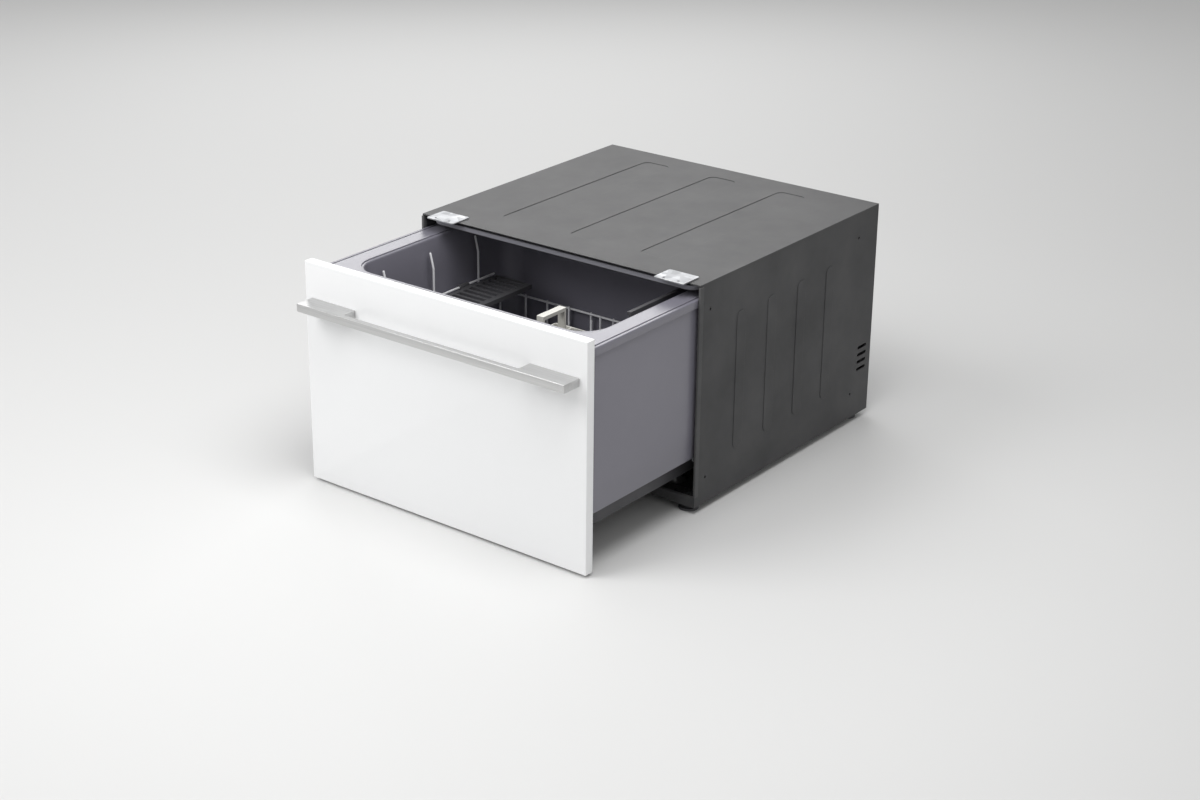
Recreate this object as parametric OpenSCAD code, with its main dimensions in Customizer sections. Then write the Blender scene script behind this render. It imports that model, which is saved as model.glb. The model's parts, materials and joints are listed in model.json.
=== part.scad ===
// A built-in dishwasher drawer: a folded steel housing on feet, a moulded tub that rides out of it on
// telescopic runners behind a plain slab front with a bar handle, an inner lid that comes down over the
// tub, and the wash system, controls, wire rack and baskets that the tub carries. Millimetres, Z up.
// The origin is the middle of the footprint, on the floor. The drawer is drawn standing part open.

/* [Housing] */
// Overall width of the steel housing
chassis_w = 596; // [580:1:620]
// Overall height, feet to worktop tabs
chassis_h = 410; // [405:1:440]
// Depth of the housing behind its front edge
chassis_d = 553; // [548:1:620]
// Thickness of the folded sheet
sheet = 1.2; // [0.8:0.1:2]
// Height of the levelling feet under the housing
foot_h = 12; // [8:1:16]
// Radius of a levelling foot
foot_r = 17; // [12:1:20]
// Height of the drip tray's walls
pan_wall_h = 36; // [20:1:46]
// Wall thickness of the moulded drip tray
pan_wall = 3; // [2:0.5:4]

/* [Front panel] */
// Width of the front slab
panel_w = 596; // [560:1:620]
// Height of the slab's lower edge over the ground
panel_low = 5; // [3:1:60]
// Thickness of the front slab
panel_t = 18; // [16:0.5:22]
// How far the slab stands above the tub rim
panel_over_rim = 18; // [6:1:20]
// Thickness of the steel plate between slab and tub
plate_t = 2; // [1.5:0.5:4]

/* [Handle] */
// Length of the bar handle
handle_w = 566; // [300:2:580]
// How far the handle stands out from the slab
handle_reach = 38; // [30:1:50]
// Height of the bar
handle_h = 14; // [10:1:20]
// Thickness of the bar from front to back
handle_bar = 11; // [8:1:16]
// Length of each solid end block
handle_block = 98; // [30:2:120]
// Drop from the slab's top edge to the bar
handle_drop = 62; // [40:1:120]

/* [Tub] */
// Drop from the housing's top to the tub rim
head_room = 27; // [26:1:34]
// Gap between the tub rim and the housing wall
side_gap = 2.8; // [1:0.1:6]
// Length of the tub from front to back
tub_d = 500; // [490:1:505]
// Height of the skirt's lower edge over the ground
skirt_low = 101; // [99:1:110]
// Wall thickness of the mouldings
wall = 3; // [2:0.5:4]
// Width of the rim along the sides
rim_w = 44; // [40:1:52]
// Width of the rim along the front
rim_front = 46; // [42:1:60]
// Width of the rim along the back
rim_back = 42; // [30:1:60]
// Height of the rim's turned-down lip
lip_h = 14; // [8:1:24]
// How far the lip stands proud of the skirt
lip_t = 4; // [2:0.5:6]
// Height of the basin floor over the ground
floor_low = 130; // [129:1:138]
// Inward slope of each basin wall, top to bottom
draft = 10; // [4:1:12]
// Radius of the basin's upright corners
corner_r = 45; // [40:1:60]
// Radius between basin floor and walls
floor_r = 30; // [20:1:36]

/* [Runners] */
// How far the drawer stands open as drawn
drawer_open = 276; // [60:1:490]
// Height of a runner's outer channel
runner_h = 46; // [42:1:50]
// Length of each runner member
runner_l = 480; // [400:1:485]
// Thickness of the runner steel
runner_t = 1.4; // [1.2:0.1:1.6]
// Radius of a runner roller
roller_r = 2.45; // [2:0.05:2.6]
// Distance between rollers in a cage
roller_pitch = 40; // [25:1:60]

/* [Inner lid] */
// How far the lid comes down
lid_travel = 5.5; // [3:0.5:5.5]
// Gap between the lowered seal and the rim
lid_gap = 1; // [0.6:0.1:1.5]
// Height of the rubber seal
seal_h = 3.5; // [2.5:0.5:4]
// Thickness of the lid plate
lid_t = 7; // [5:0.5:7]
// Height of the lid's stiffening ribs
lid_rib = 4; // [2:0.5:4]
// Gear module of the lift rack and pinion
gear_m = 1.25; // [1:0.25:1.5]
// Teeth on each lift pinion
gear_z = 12; // [10:1:14]

/* [Wash system] */
// Reach of the spray arm from its centre
arm_r = 186; // [120:1:188]
// Radius of the sump under the basin floor
sump_r = 90; // [86:1:96]
// Depth of the sump
sump_depth = 26; // [24:1:30]
// Radius of the round drain filter
filter_r = 24.2; // [18:0.2:25]
// Radius of the spray arm's pivot
pivot_r = 8; // [6:0.5:10]
// Radius of the motor shaft
shaft_r = 4; // [3:0.5:5]
// Outer radius of the motor housing
motor_r = 64; // [56:1:68]
// Radius of the heater's coil
heater_r = 107; // [104:1:110]

/* [Racks] */
// Diameter of the rack wire
wire_d = 4; // [3.5:0.1:4.5]
// Height of the rack's lowest wires over the floor
rack_lift = 48; // [46:1:60]
// Distance between the cross wires
wire_pitch = 60; // [60:1:64]
// Drop from the tub's rim to the tops of the tall side wires
rack_drop = 23; // [21:1:60]
// Height of the rail around the rack
rail_h = 54; // [40:1:60]
// Length of the fold-down tines
tine_h = 62; // [40:1:62]
// Distance between tines in a row
tine_pitch = 26; // [20:1:40]
// Depth of a folding cup shelf
shelf_w = 90; // [60:1:94]
// Drop from the tub's rim to the cup shelf hinges
shelf_drop = 103; // [99:1:112]
// Width of the cutlery basket
basket_w = 70; // [60:1:72]
// Length of the cutlery basket
basket_d = 112; // [100:1:112]
// Drop from the tub's rim to the basket's grip
grip_drop = 19; // [17:1:50]
// Rise of the basket handle over the basket
basket_grip = 44; // [30:1:46]

/* [Controls] */
// Radius of a control button
button_r = 6.5; // [5:0.5:8]
// Distance between buttons
button_pitch = 26; // [20:1:30]
// How far a button travels
button_travel = 0.8; // [0.5:0.1:1]
// Length of the control strip
fascia_w = 300; // [240:2:360]
// Width of the control strip
fascia_d = 26; // [22:1:27]

/* [Hidden] */
$fn = 32;
fit = 0.06; // radial play of a turning or sliding pin
eps = 1;
half_w = chassis_w / 2;
in_w = half_w - sheet; // inside face of a housing wall
tab_t = 2;
top_z = chassis_h - tab_t - sheet; // underside of the top sheet
base_z = foot_h;
rim_z = chassis_h - head_room;
skirt_z = skirt_low;
skirt_h = rim_z - skirt_z;
floor_z = floor_low;
panel_z1 = rim_z + panel_over_rim;
panel_z0 = panel_low;
panel_h = panel_z1 - panel_z0;
panel_y1 = -plate_t; // back face of the slab with the drawer shut
panel_y0 = panel_y1 - panel_t;
handle_z = panel_z1 - handle_drop - handle_h;
tub_w = 2 * (in_w - side_gap);
skirt_w = tub_w - 2 * lip_t;
skirt_in = skirt_w / 2 - wall;
basin_w = tub_w - 2 * rim_w;
basin_y0 = rim_front;
basin_y1 = tub_d - rim_back;
basin_l = basin_y1 - basin_y0;
mid_y = (basin_y0 + basin_y1) / 2;
screw_head = 2;
home_y = (chassis_d + screw_head - drawer_open - handle_reach + panel_y0) / 2;

// runner section, measured from the outer channel's web
run_x = skirt_in - 3;
run_z = skirt_z + 7 + runner_h / 2;
run_y = 10;
run_lip = 11.5;
play = 0.6;
mid_h = runner_h / 2 - runner_t - 2 * roller_r - play;
in_h = mid_h - runner_t - 2 * roller_r - play;
ledge_x = run_x - 22;

// wash system levels
sump_z = floor_z - sump_depth;
seat_z = floor_z - wall;
sump_under = sump_z - wall;
filter_t = 2.5;
filter_x = 62;
arm_z = floor_z + 18;
motor_z = sump_under - 37;
cover_z = motor_z - 4;
cover_w = 2 * ledge_x;
cover_d = basin_l + 16;
cover_top = run_z - 20; // underside of the tub's runner ledges

// rack levels and rows
rack_z = floor_z + rack_lift;
rack_h = rim_z - rack_drop - rack_z;
wire_r = wire_d / 2;
rack_x = basin_w / 2 - draft - 6;
rack_y = basin_l / 2 - draft - 6;
tall_y = [for (i = [-1:1]) mid_y - 22 + i * 2 * wire_pitch];
low_y = [for (y = tall_y) y + wire_pitch];
axle_z = rack_z + 8;
row_x = [-70, 0, 85, 155];
row_y0 = [mid_y - 168, mid_y - 168, mid_y - 46, mid_y - 46];
row_y1 = mid_y + 168;
row_clips = [[0, 2], [0, 2], [1, 2], [1, 2]];
weld = 0.1; // how far one wire sinks into another where they are welded
rail_x = rack_x - wire_d + weld;
shelf_z = rim_z - shelf_drop;
shelf_t = 5;
basket_x = 111;
basket_y = mid_y - rack_y + 9 + basket_d / 2;
basket_z = rack_z + wire_r;
basket_h = rim_z - grip_drop - basket_grip - basket_z;

// lid levels, raised
seal_z = rim_z + lid_gap + lid_travel;
lid_z = seal_z + seal_h;
lid_l = tub_d - 12;
lid_w = tub_w - 18;
pitch_r = gear_m * gear_z / 2;
rack_face = tub_d + 14;
pitch_y = rack_face + 1.2 * gear_m;
pinion_y = pitch_y + pitch_r;
pinion_z = rim_z - 18;
lift_x = 205;
pinion_w = 11;

// controls
fascia_y = rim_front / 2;
fascia_t = 4;
flange_t = 2.5;
button_x = [for (i = [0:2]) -fascia_w / 2 + 28 + i * button_pitch];
board_z = rim_z - 15;

// dispenser on the basin's front wall
disp_z = rim_z - 94;
disp_y = basin_y0 + 28;

// ---- placing ----
module in_housing() translate([0, -home_y, 0]) children();
module in_runner() translate([0, -home_y - drawer_open / 2, 0]) children();
module in_drawer() translate([0, -home_y - drawer_open, 0]) children();
module both_sides() {
  children();
  mirror([1, 0, 0]) children();
}
// a profile drawn in (Y, Z), carried along X from x0 to x1
module along_x(x0, x1) translate([x0, 0, 0]) rotate([90, 0, 90]) linear_extrude(x1 - x0) children();
// a profile drawn in (X, Z), carried along Y from y0 to y1
module along_y(y0, y1) translate([0, y1, 0]) rotate([90, 0, 0]) linear_extrude(y1 - y0) children();
module slab(x0, x1, y0, y1, z0, z1) translate([x0, y0, z0]) cube([x1 - x0, y1 - y0, z1 - z0]);

// ---- shared shapes ----
// rectangle with round corners, centred
module rrect(w, h, r) {
  square([w - 2 * r, h], center = true);
  square([w, h - 2 * r], center = true);
  for (x = [-1, 1], y = [-1, 1]) translate([x * (w / 2 - r), y * (h / 2 - r)]) circle(r);
}
// flat ring between two round-cornered rectangles
module ring2d(w, h, r, t) difference() {
  rrect(w, h, r);
  rrect(w - 2 * t, h - 2 * t, max(r - t, 0.5));
}
// a slot with round ends, centred
module slot2d(l, w) {
  square([l - w, w], center = true);
  for (x = [-1, 1]) translate([x * (l - w) / 2, 0]) circle(w / 2);
}
// round bar between two points
module rod(a, b, d = wire_d) {
  v = b - a;
  translate(a) rotate([0, acos(v[2] / norm(v)), atan2(v[1], v[0])]) cylinder(d = d, h = norm(v));
}
// quarter bend of wire in the plane of +X and +Z, turning about the origin, from +X to +Z
module bend(r) rotate([90, 0, 0]) rotate_extrude(angle = 90) translate([r, 0]) circle(wire_r);
module hex(r, h) cylinder(r = r, h = h, $fn = 6);
// screw along +Z: round head under z = 0, shank above it
module screw(r, l, head_r = 4, head = screw_head) {
  cylinder(r = r, h = l);
  difference() {
    translate([0, 0, -head]) cylinder(r = head_r, h = head);
    for (a = [0, 90]) rotate([0, 0, a]) translate([-head_r * 0.6, -0.5, -head - eps])
      cube([head_r * 1.2, 1, 1 + eps]);
  }
}

// ---- housing ----
fix_y = [30, chassis_d - 63];
fix_z = [foot_h + 48, top_z - 46.8];
fix_r = 2.5;
back_screw_z = [for (z = fix_z) z - 8];
foot_x = half_w - 25;
foot_y = [20, chassis_d - 30];
flange_w = 40;
bead_n = 4;
bead_pitch = (fix_y[1] - fix_y[0]) / (bead_n + 1);
bead_l = 250;
bead_mid = foot_h + 195;

module chassis_side() {
  difference() {
    union() {
      slab(in_w, half_w, 0, chassis_d, base_z, top_z);
      slab(half_w - flange_w, half_w, 0, chassis_d, base_z, base_z + sheet);
      slab(half_w - 20, half_w, 0, chassis_d, top_z - sheet, top_z);
      slab(half_w - 16, half_w, chassis_d - sheet, chassis_d, base_z, top_z);
      for (i = [1:bead_n]) translate([0, fix_y[0] + i * bead_pitch, bead_mid])
        along_x(half_w - sheet / 2, half_w + 1) rrect(26, bead_l, 12);
    }
    for (i = [1:bead_n]) translate([0, fix_y[0] + i * bead_pitch, bead_mid])
      along_x(in_w - eps, half_w + 1 - sheet) rrect(26 - 2 * sheet, bead_l - 2 * sheet, 12 - sheet);
    for (y = fix_y, z = fix_z) translate([in_w - eps, y, z]) rotate([0, 90, 0])
      cylinder(r = fix_r, h = sheet + 2 * eps);
    for (y = foot_y) translate([foot_x, y, base_z - eps]) cylinder(r = 4, h = sheet + 2 * eps);
    for (i = [0:3]) translate([0, chassis_d - 30, base_z + 90 + 14 * i])
      along_x(in_w - eps, half_w + eps) slot2d(30, 6);
    for (z = back_screw_z) translate([half_w - 9, chassis_d - sheet - eps, z]) rotate([-90, 0, 0])
      cylinder(r = 1.8, h = sheet + 2 * eps);
  }
}

module chassis_side_right() color([0.13, 0.13, 0.14]) in_housing() chassis_side();
module chassis_side_left() color([0.13, 0.13, 0.14]) in_housing() mirror([1, 0, 0]) chassis_side();

back_y = chassis_d - 2 * sheet;
hose_hole = [-60, base_z + 78, 32];
valve_x = half_w - 128;
valve_z = base_z + 78;
stub_r = 13.1;
gland_x = 108 - half_w;
gland_z = base_z + 78;
gland_r = 9;
stub_l = chassis_d + screw_head - back_y + eps; // both end level with the screw heads

module back_panel() color([0.2, 0.2, 0.21]) in_housing() difference() {
  union() {
    slab(-in_w, in_w, back_y, back_y + sheet, base_z + sheet, top_z - sheet);
    for (z = [base_z + 200, base_z + 300]) translate([0, 0, z])
      along_y(back_y + sheet / 2, back_y + sheet + 1) rrect(400, 40, 14);
  }
  for (z = [base_z + 200, base_z + 300]) translate([0, 0, z])
    along_y(back_y - eps, back_y + 1) rrect(400 - 2 * sheet, 40 - 2 * sheet, 14 - sheet);
  for (h = [hose_hole, [valve_x, valve_z, stub_r + 8], [gland_x, gland_z, gland_r]])
    translate([h[0], back_y - eps, h[1]]) rotate([-90, 0, 0]) cylinder(r = h[2], h = sheet + 2 * eps);
  both_sides() for (z = back_screw_z) translate([half_w - 9, back_y - eps, z]) rotate([-90, 0, 0])
    cylinder(r = 1.8, h = sheet + 2 * eps);
}

guide = [200, 60]; // X and Y of the lid guide pins
module top_panel() color([0.16, 0.16, 0.17]) in_housing() difference() {
  union() {
    slab(-half_w, half_w, 0, chassis_d, top_z, top_z + sheet);
    for (x = [-150, 0, 150]) translate([x, chassis_d / 2 + 10, top_z - 0.8])
      linear_extrude(1) rrect(60, chassis_d - 120, 14);
  }
  for (x = [-150, 0, 150]) translate([x, chassis_d / 2 + 10, top_z + sheet - 0.8])
    linear_extrude(1 + eps) rrect(60 - 2 * sheet, chassis_d - 120 - 2 * sheet, 14 - sheet);
}

tab_x = 245;
tab_hole = [15, 2.25]; // half distance between the holes, and their radius
module worktop_tab() translate([tab_x, 7, top_z + sheet]) difference() {
  linear_extrude(tab_t) rrect(60, 46, 4);
  for (x = [-1, 1]) translate([x * tab_hole[0], -15, -eps]) cylinder(r = tab_hole[1], h = tab_t + 2 * eps);
}
// pin that the inner lid slides on, with its plate against the top sheet
module guide_pin() translate([guide[0], guide[1], 0]) {
  translate([0, 0, rim_z + 3]) cylinder(r = 3, h = top_z - rim_z - 3);
  translate([0, 0, top_z - 1.6]) cylinder(r = 9, h = 1.6);
}
// tabs, guide pins and back screws of the housing
module housing_hardware() color([0.66, 0.67, 0.69]) in_housing() both_sides() {
  worktop_tab();
  guide_pin();
  for (z = back_screw_z) translate([half_w - 9, chassis_d, z]) rotate([90, 0, 0]) screw(1.8, 8);
}

module levelling_feet() color([0.25, 0.25, 0.26]) in_housing() both_sides() for (y = foot_y)
  translate([foot_x, y, 0]) {
    cylinder(r = foot_r, h = 4);
    cylinder(r1 = foot_r - 2, r2 = 8, h = 6);
    hex(8, foot_h);
    cylinder(r = 4, h = foot_h + 9);
  }

rail_top = 17;
module base_front_rail() color([0.45, 0.45, 0.46]) in_housing()
  along_x(-in_w, in_w) translate([0, base_z + sheet]) polygon([[0, 0], [0, rail_top], [6, rail_top],
    [6, rail_top - sheet], [sheet, rail_top - sheet], [sheet, 0]]);

// drip tray: a stepped front ledge, a shallow well, the float's pin and ring, and round stiffening ribs
pan_z = base_z + sheet;
pan_y0 = sheet + 0.3;
pan_y1 = back_y - 0.3;
pan_ledge = 12;
float_pos = [-150, 120];
float_pin_r = 2.5;
float_r = 15;
module base_pan() color([0.05, 0.05, 0.06]) in_housing() difference() {
  union() {
    along_x(-in_w + 0.3, in_w - 0.3) polygon([
      [pan_y0, pan_z], [pan_y0, pan_z + pan_ledge - 4], [pan_y0 + 5.5, pan_z + pan_ledge - 4],
      [pan_y0 + 6, pan_z + pan_ledge], [pan_y0 + 34, pan_z + pan_ledge], [pan_y0 + 40, pan_z + pan_wall],
      [pan_y1 - pan_wall, pan_z + pan_wall], [pan_y1 - pan_wall, pan_z + pan_wall_h],
      [pan_y1, pan_z + pan_wall_h], [pan_y1, pan_z]]);
    both_sides() slab(in_w - 0.3 - pan_wall, in_w - 0.3, pan_y0 + 10, pan_y1, pan_z, pan_z + pan_wall_h);
    translate([float_pos[0], float_pos[1], pan_z]) {
      difference() {
        cylinder(r = float_r + 6, h = 9);
        translate([0, 0, pan_wall]) cylinder(r = float_r + 4, h = 9);
      }
      cylinder(r = float_pin_r, h = 30);
    }
    both_sides() translate([206, 72, pan_z]) difference() {
      cylinder(r1 = 24, r2 = 20, h = pan_wall + 9);
      translate([0, 0, pan_wall]) cylinder(r1 = 14, r2 = 17, h = 9 + eps);
    }
    translate([0, mid_y - drawer_open / 3, pan_z]) intersection() {
      for (r = [60, 85, 110]) difference() {
        cylinder(r = r + 1.2, h = pan_wall + 5, $fn = 64);
        translate([0, 0, -eps]) cylinder(r = r - 1.2, h = 20, $fn = 64);
      }
      translate([-190, -90, 0]) cube([380, 300, 20]);
    }
  }
  both_sides() for (y = foot_y) translate([foot_x, y, pan_z - eps]) cylinder(r = 5, h = 60);
}

// rubber strips that clip over the front edges of the side sheets
trim_out = 1.8;
trim_in = 1.6;
module side_trims() color([0.1, 0.1, 0.1]) in_housing() both_sides()
  translate([0, 0, base_z + rail_top + 3]) linear_extrude(top_z - base_z - rail_top - 6) difference() {
    translate([in_w - trim_in, -1.6]) square([trim_in + sheet + trim_out, 9.6]);
    translate([in_w, 0]) square([sheet, 20]);
  }

// the valve's body hangs on two lugs behind the back sheet, so that a hose nut can reach its stub
nut_room = 8;
module inlet_valve() color([0.85, 0.85, 0.82]) in_housing() difference() {
  union() {
    translate([0, 0, valve_z]) along_y(back_y - 34 - nut_room, back_y - nut_room) rrect2(valve_x, 44, 40, 6);
    translate([valve_x, back_y - 17 - nut_room, valve_z + 18]) cylinder(r = 12, h = 34);
    translate([valve_x, back_y - nut_room - eps, valve_z]) rotate([-90, 0, 0])
      cylinder(r = stub_r, h = stub_l + nut_room);
    for (x = [-1, 1]) slab(valve_x + x * 26 - 4.5, valve_x + x * 26 + 4.5, back_y - 20, back_y,
      valve_z - 8, valve_z + 8);
  }
  translate([valve_x, back_y - 30, valve_z]) rotate([-90, 0, 0]) cylinder(r = 8.5, h = 60);
}
module rrect2(x, w, h, r) translate([x, 0]) rrect(w, h, r);

module terminal_box() color([0.16, 0.16, 0.17]) in_housing() difference() {
  union() {
    translate([0, 0, gland_z]) along_y(back_y - 42, back_y) rrect2(gland_x, 76, 52, 5);
    translate([gland_x, back_y - eps, gland_z]) rotate([-90, 0, 0]) cylinder(r = gland_r, h = stub_l);
    for (x = [-1, 1], z = [-1, 1]) translate([gland_x + x * 30, back_y - 44, gland_z + z * 18])
      rotate([-90, 0, 0]) cylinder(r = 4, h = 4);
  }
  translate([gland_x, back_y - 10, gland_z]) rotate([-90, 0, 0]) cylinder(r = 4.5, h = 60);
}

module flood_switch() color([0.5, 0.12, 0.1]) in_housing()
  translate([float_pos[0] + float_r + 7, float_pos[1] - 12, pan_z + pan_wall]) {
    cube([16, 24, 28]);
    translate([-18, 6, 22.5]) cube([19, 12, 4]);
  }

module flood_float() color([0.85, 0.8, 0.7]) in_housing()
  translate([float_pos[0], float_pos[1], pan_z + pan_wall + 0.3]) difference() {
    union() {
      cylinder(r = float_r, h = 9);
      cylinder(r1 = float_r, r2 = 7, h = 13);
    }
    translate([0, 0, -eps]) cylinder(r = float_pin_r + fit, h = 20);
  }

// ---- runners ----
// channel with its web on the outside (side = 1) or on the inside (side = -1)
module channel(web, lip, h, t, side) {
  x0 = min(web, web - side * lip);
  translate([x0, -h]) square([lip, t]);
  translate([x0, h - t]) square([lip, t]);
  translate([side > 0 ? web - t : web, -h]) square([t, 2 * h]);
}

module runner_outer() {
  difference() {
    translate([0, 0, run_z]) along_y(run_y, run_y + runner_l) {
      channel(run_x, run_lip, runner_h / 2, runner_t, 1);
      translate([run_x - 0.2, -runner_h / 2 - 16]) square([1.7, runner_h + 16]);
      translate([run_x, -runner_h / 2 - 16]) square([in_w - run_x, 1.5]);
      translate([in_w - 1.5, -runner_h / 2 - 36]) square([1.5, 21.5]);
    }
    for (i = [0:5]) translate([0, run_y + 45 + i * (runner_l - 90) / 5, run_z - runner_h / 2 - 10])
      along_x(run_x - eps, run_x + 2) slot2d(30, 6);
  }
}
module runner_outers() color([0.62, 0.63, 0.65]) in_housing() both_sides() runner_outer();

module runner_mid() translate([0, 0, run_z]) along_y(run_y, run_y + runner_l) {
  channel(run_x - runner_t - 1.2, run_lip - runner_t - 1.2, mid_h, runner_t, 1);
}
module runner_mid_right() color([0.7, 0.71, 0.73]) in_runner() runner_mid();
module runner_mid_left() color([0.7, 0.71, 0.73]) in_runner() mirror([1, 0, 0]) runner_mid();

// nylon strips of rollers over and inside the middle member
cage_n = 7;
module roller_cage() {
  x0 = run_x - run_lip + 0.6;
  x1 = run_x - runner_t - 1.2 - runner_t - 1;
  y0 = run_y + (runner_l - cage_n * roller_pitch) / 2;
  for (s = [-1, 1], h = [mid_h + roller_r, mid_h - runner_t - roller_r]) translate([0, 0, run_z + s * h]) {
    slab(x0, x1, y0, y0 + cage_n * roller_pitch, -0.9, 0.9);
    for (i = [0:cage_n - 1]) translate([x0 + 0.5, y0 + (i + 0.5) * roller_pitch, 0]) rotate([0, 90, 0])
      cylinder(r = roller_r, h = x1 - x0 - 1);
  }
}
module roller_cage_right() color([0.9, 0.9, 0.86]) in_runner() roller_cage();
module roller_cage_left() color([0.9, 0.9, 0.86]) in_runner() mirror([1, 0, 0]) roller_cage();

carrier_y = [40, run_y + runner_l / 2, run_y + runner_l - 60];
module runner_inner() {
  web = run_x - 14.2;
  translate([0, 0, run_z]) along_y(run_y, run_y + runner_l) channel(web, 9.2, in_h, 1.2, -1);
  for (y = carrier_y) slab(ledge_x, web + 0.2, y, y + 30, run_z - in_h, run_z + in_h);
}
module runner_inners() color([0.66, 0.67, 0.69]) in_drawer() both_sides() runner_inner();

// ---- tub ----
// tapered basin with round corners and a round floor edge, grown outwards by g
module basin(g) hull() {
  translate([0, mid_y, rim_z - 0.5]) linear_extrude(0.5)
    rrect(basin_w + 2 * g, basin_l + 2 * g, corner_r + g);
  for (x = [-1, 1], y = [-1, 1]) translate([x * (basin_w / 2 - draft - floor_r),
    mid_y + y * (basin_l / 2 - draft - floor_r), floor_z + floor_r]) sphere(floor_r + g);
}

post_x = rack_x - 22;
post_y = [tall_y[0], tall_y[2] + wire_pitch];
rim_cut = 2; // depth of the step and the groove in the rim
step_w = 5;
groove_w = 2.5;
module tub() color([0.43, 0.42, 0.46]) in_drawer() difference() {
  union() {
    translate([0, tub_d / 2, rim_z - 4]) linear_extrude(4) rrect(tub_w, tub_d, 10);
    translate([0, tub_d / 2, rim_z - lip_h]) linear_extrude(lip_h) ring2d(tub_w, tub_d, 10, lip_t + 0.5);
    translate([0, tub_d / 2, skirt_z]) linear_extrude(skirt_h - 4)
      ring2d(skirt_w, tub_d - 2 * lip_t, 8, wall);
    difference() {
      union() {
        basin(wall);
        translate([0, mid_y, sump_under]) cylinder(r = sump_r + wall, h = sump_depth + wall, $fn = 64);
        translate([0, mid_y, seat_z - wall]) cylinder(r = sump_r + 9, h = 2 * wall, $fn = 64);
        both_sides() slab(ledge_x - 4, ledge_x, 30, tub_d - 30, run_z - 20, run_z + 20);
        both_sides() for (y = [44:82:tub_d - 40])
          slab(basin_w / 2 - draft - floor_r, ledge_x - 1, y, y + 3, run_z - 20, run_z + 20);
      }
      basin(0);
      translate([0, mid_y, seat_z]) cylinder(r = sump_r + 6, h = 40, $fn = 64);
      translate([0, mid_y, sump_z]) cylinder(r = sump_r, h = 40, $fn = 64);
      translate([0, mid_y, sump_under - eps]) cylinder(r = shaft_r + fit, h = 20);
      translate([-sump_r - 10, mid_y, sump_z + 6]) rotate([0, 90, 0]) cylinder(r = 5, h = 20);
    }
    both_sides() for (y = post_y) translate([post_x, y, seat_z + 1]) cylinder(r = 8, h = rack_z - seat_z);
  }
  // mouth of the basin through the rim, with the wall left standing
  translate([0, mid_y, rim_z - 5]) linear_extrude(5 + eps) rrect(basin_w - 0.4, basin_l - 0.4, corner_r);
  // step round the mouth, and groove round the rim
  translate([0, mid_y, rim_z - rim_cut]) linear_extrude(rim_cut + eps)
    rrect(basin_w + 2 * step_w, basin_l + 2 * step_w, corner_r + step_w);
  translate([0, tub_d / 2, rim_z - rim_cut]) linear_extrude(rim_cut + eps)
    ring2d(tub_w - 12, tub_d - 12, 8, groove_w);
  // window for the control strip
  slab(-fascia_w / 2, fascia_w / 2, fascia_y - fascia_d / 2, fascia_y + fascia_d / 2,
    rim_z - 5, rim_z + eps);
  // open back corners, for the runners to pass
  both_sides() slab(ledge_x + 0.5, in_w, tub_d - 30, tub_d + eps,
    skirt_z - eps, run_z + runner_h / 2 + 6);
  // saddles for the rack's cross wires
  for (y = post_y) rod([-rack_x, y, rack_z], [rack_x, y, rack_z]);
}

bracket_z0 = skirt_z - 20;
screw_x = [-240, -80, 80, 240];
screw_z = [bracket_z0 + 24, rim_z - 40];
block_x = handle_w / 2 - handle_block / 2;
module panel_bracket() color([0.55, 0.56, 0.57]) in_drawer() difference() {
  union() {
    along_y(-plate_t, 0) translate([0, (bracket_z0 + rim_z - 1) / 2]) rrect(550, rim_z - 1 - bracket_z0, 6);
    slab(-270, 270, -plate_t, 14, bracket_z0, bracket_z0 + plate_t);
  }
  for (x = [-160, 0, 160]) translate([x, 0, (skirt_z + rim_z - 60) / 2 + 8])
    along_y(-plate_t - eps, eps) rrect(86, rim_z - skirt_z - 120, 20);
  for (x = screw_x, z = screw_z) translate([x, eps, z]) rotate([90, 0, 0])
    cylinder(r = 2, h = plate_t + 2 * eps);
  for (x = [-1, 1]) translate([x * block_x, eps, handle_z + handle_h / 2]) rotate([90, 0, 0])
    cylinder(r = 5, h = plate_t + 2 * eps);
}

module front_panel() color([0.95, 0.95, 0.95]) in_drawer() difference() {
  along_y(panel_y0, panel_y1) translate([0, (panel_z0 + panel_z1) / 2]) rrect(panel_w, panel_h, 1.5);
  for (x = screw_x, z = screw_z) translate([x, eps, z]) rotate([90, 0, 0]) cylinder(r = 2, h = 14 + eps);
  for (x = [-1, 1]) translate([x * block_x, eps, handle_z + handle_h / 2]) rotate([90, 0, 0])
    cylinder(r = 2.5, h = panel_t + 10);
}

// bar with solid end blocks; the finger gap is open at the back, towards the slab
module handle_bar() color([0.75, 0.75, 0.74]) in_drawer() difference() {
  translate([0, panel_y0 - handle_reach / 2, handle_z]) linear_extrude(handle_h)
    rrect(handle_w, handle_reach, 1);
  slab(-handle_w / 2 + handle_block, handle_w / 2 - handle_block, panel_y0 - handle_reach + handle_bar,
    panel_y0 + eps, handle_z - eps, handle_z + handle_h + eps);
  for (x = [-1, 1]) translate([x * block_x, panel_y0 + eps, handle_z + handle_h / 2]) rotate([90, 0, 0])
    cylinder(r = 2.5, h = 18 + eps);
}

module panel_screws() color([0.7, 0.7, 0.72]) in_drawer() {
  for (x = screw_x, z = screw_z) translate([x, 0, z]) rotate([90, 0, 0]) screw(2, 12, 4.5, 2);
  for (x = [-1, 1]) translate([x * block_x, panel_y1, handle_z + handle_h / 2]) rotate([90, 0, 0])
    screw(2.5, panel_t + 17, 4.5, plate_t);
}

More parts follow.
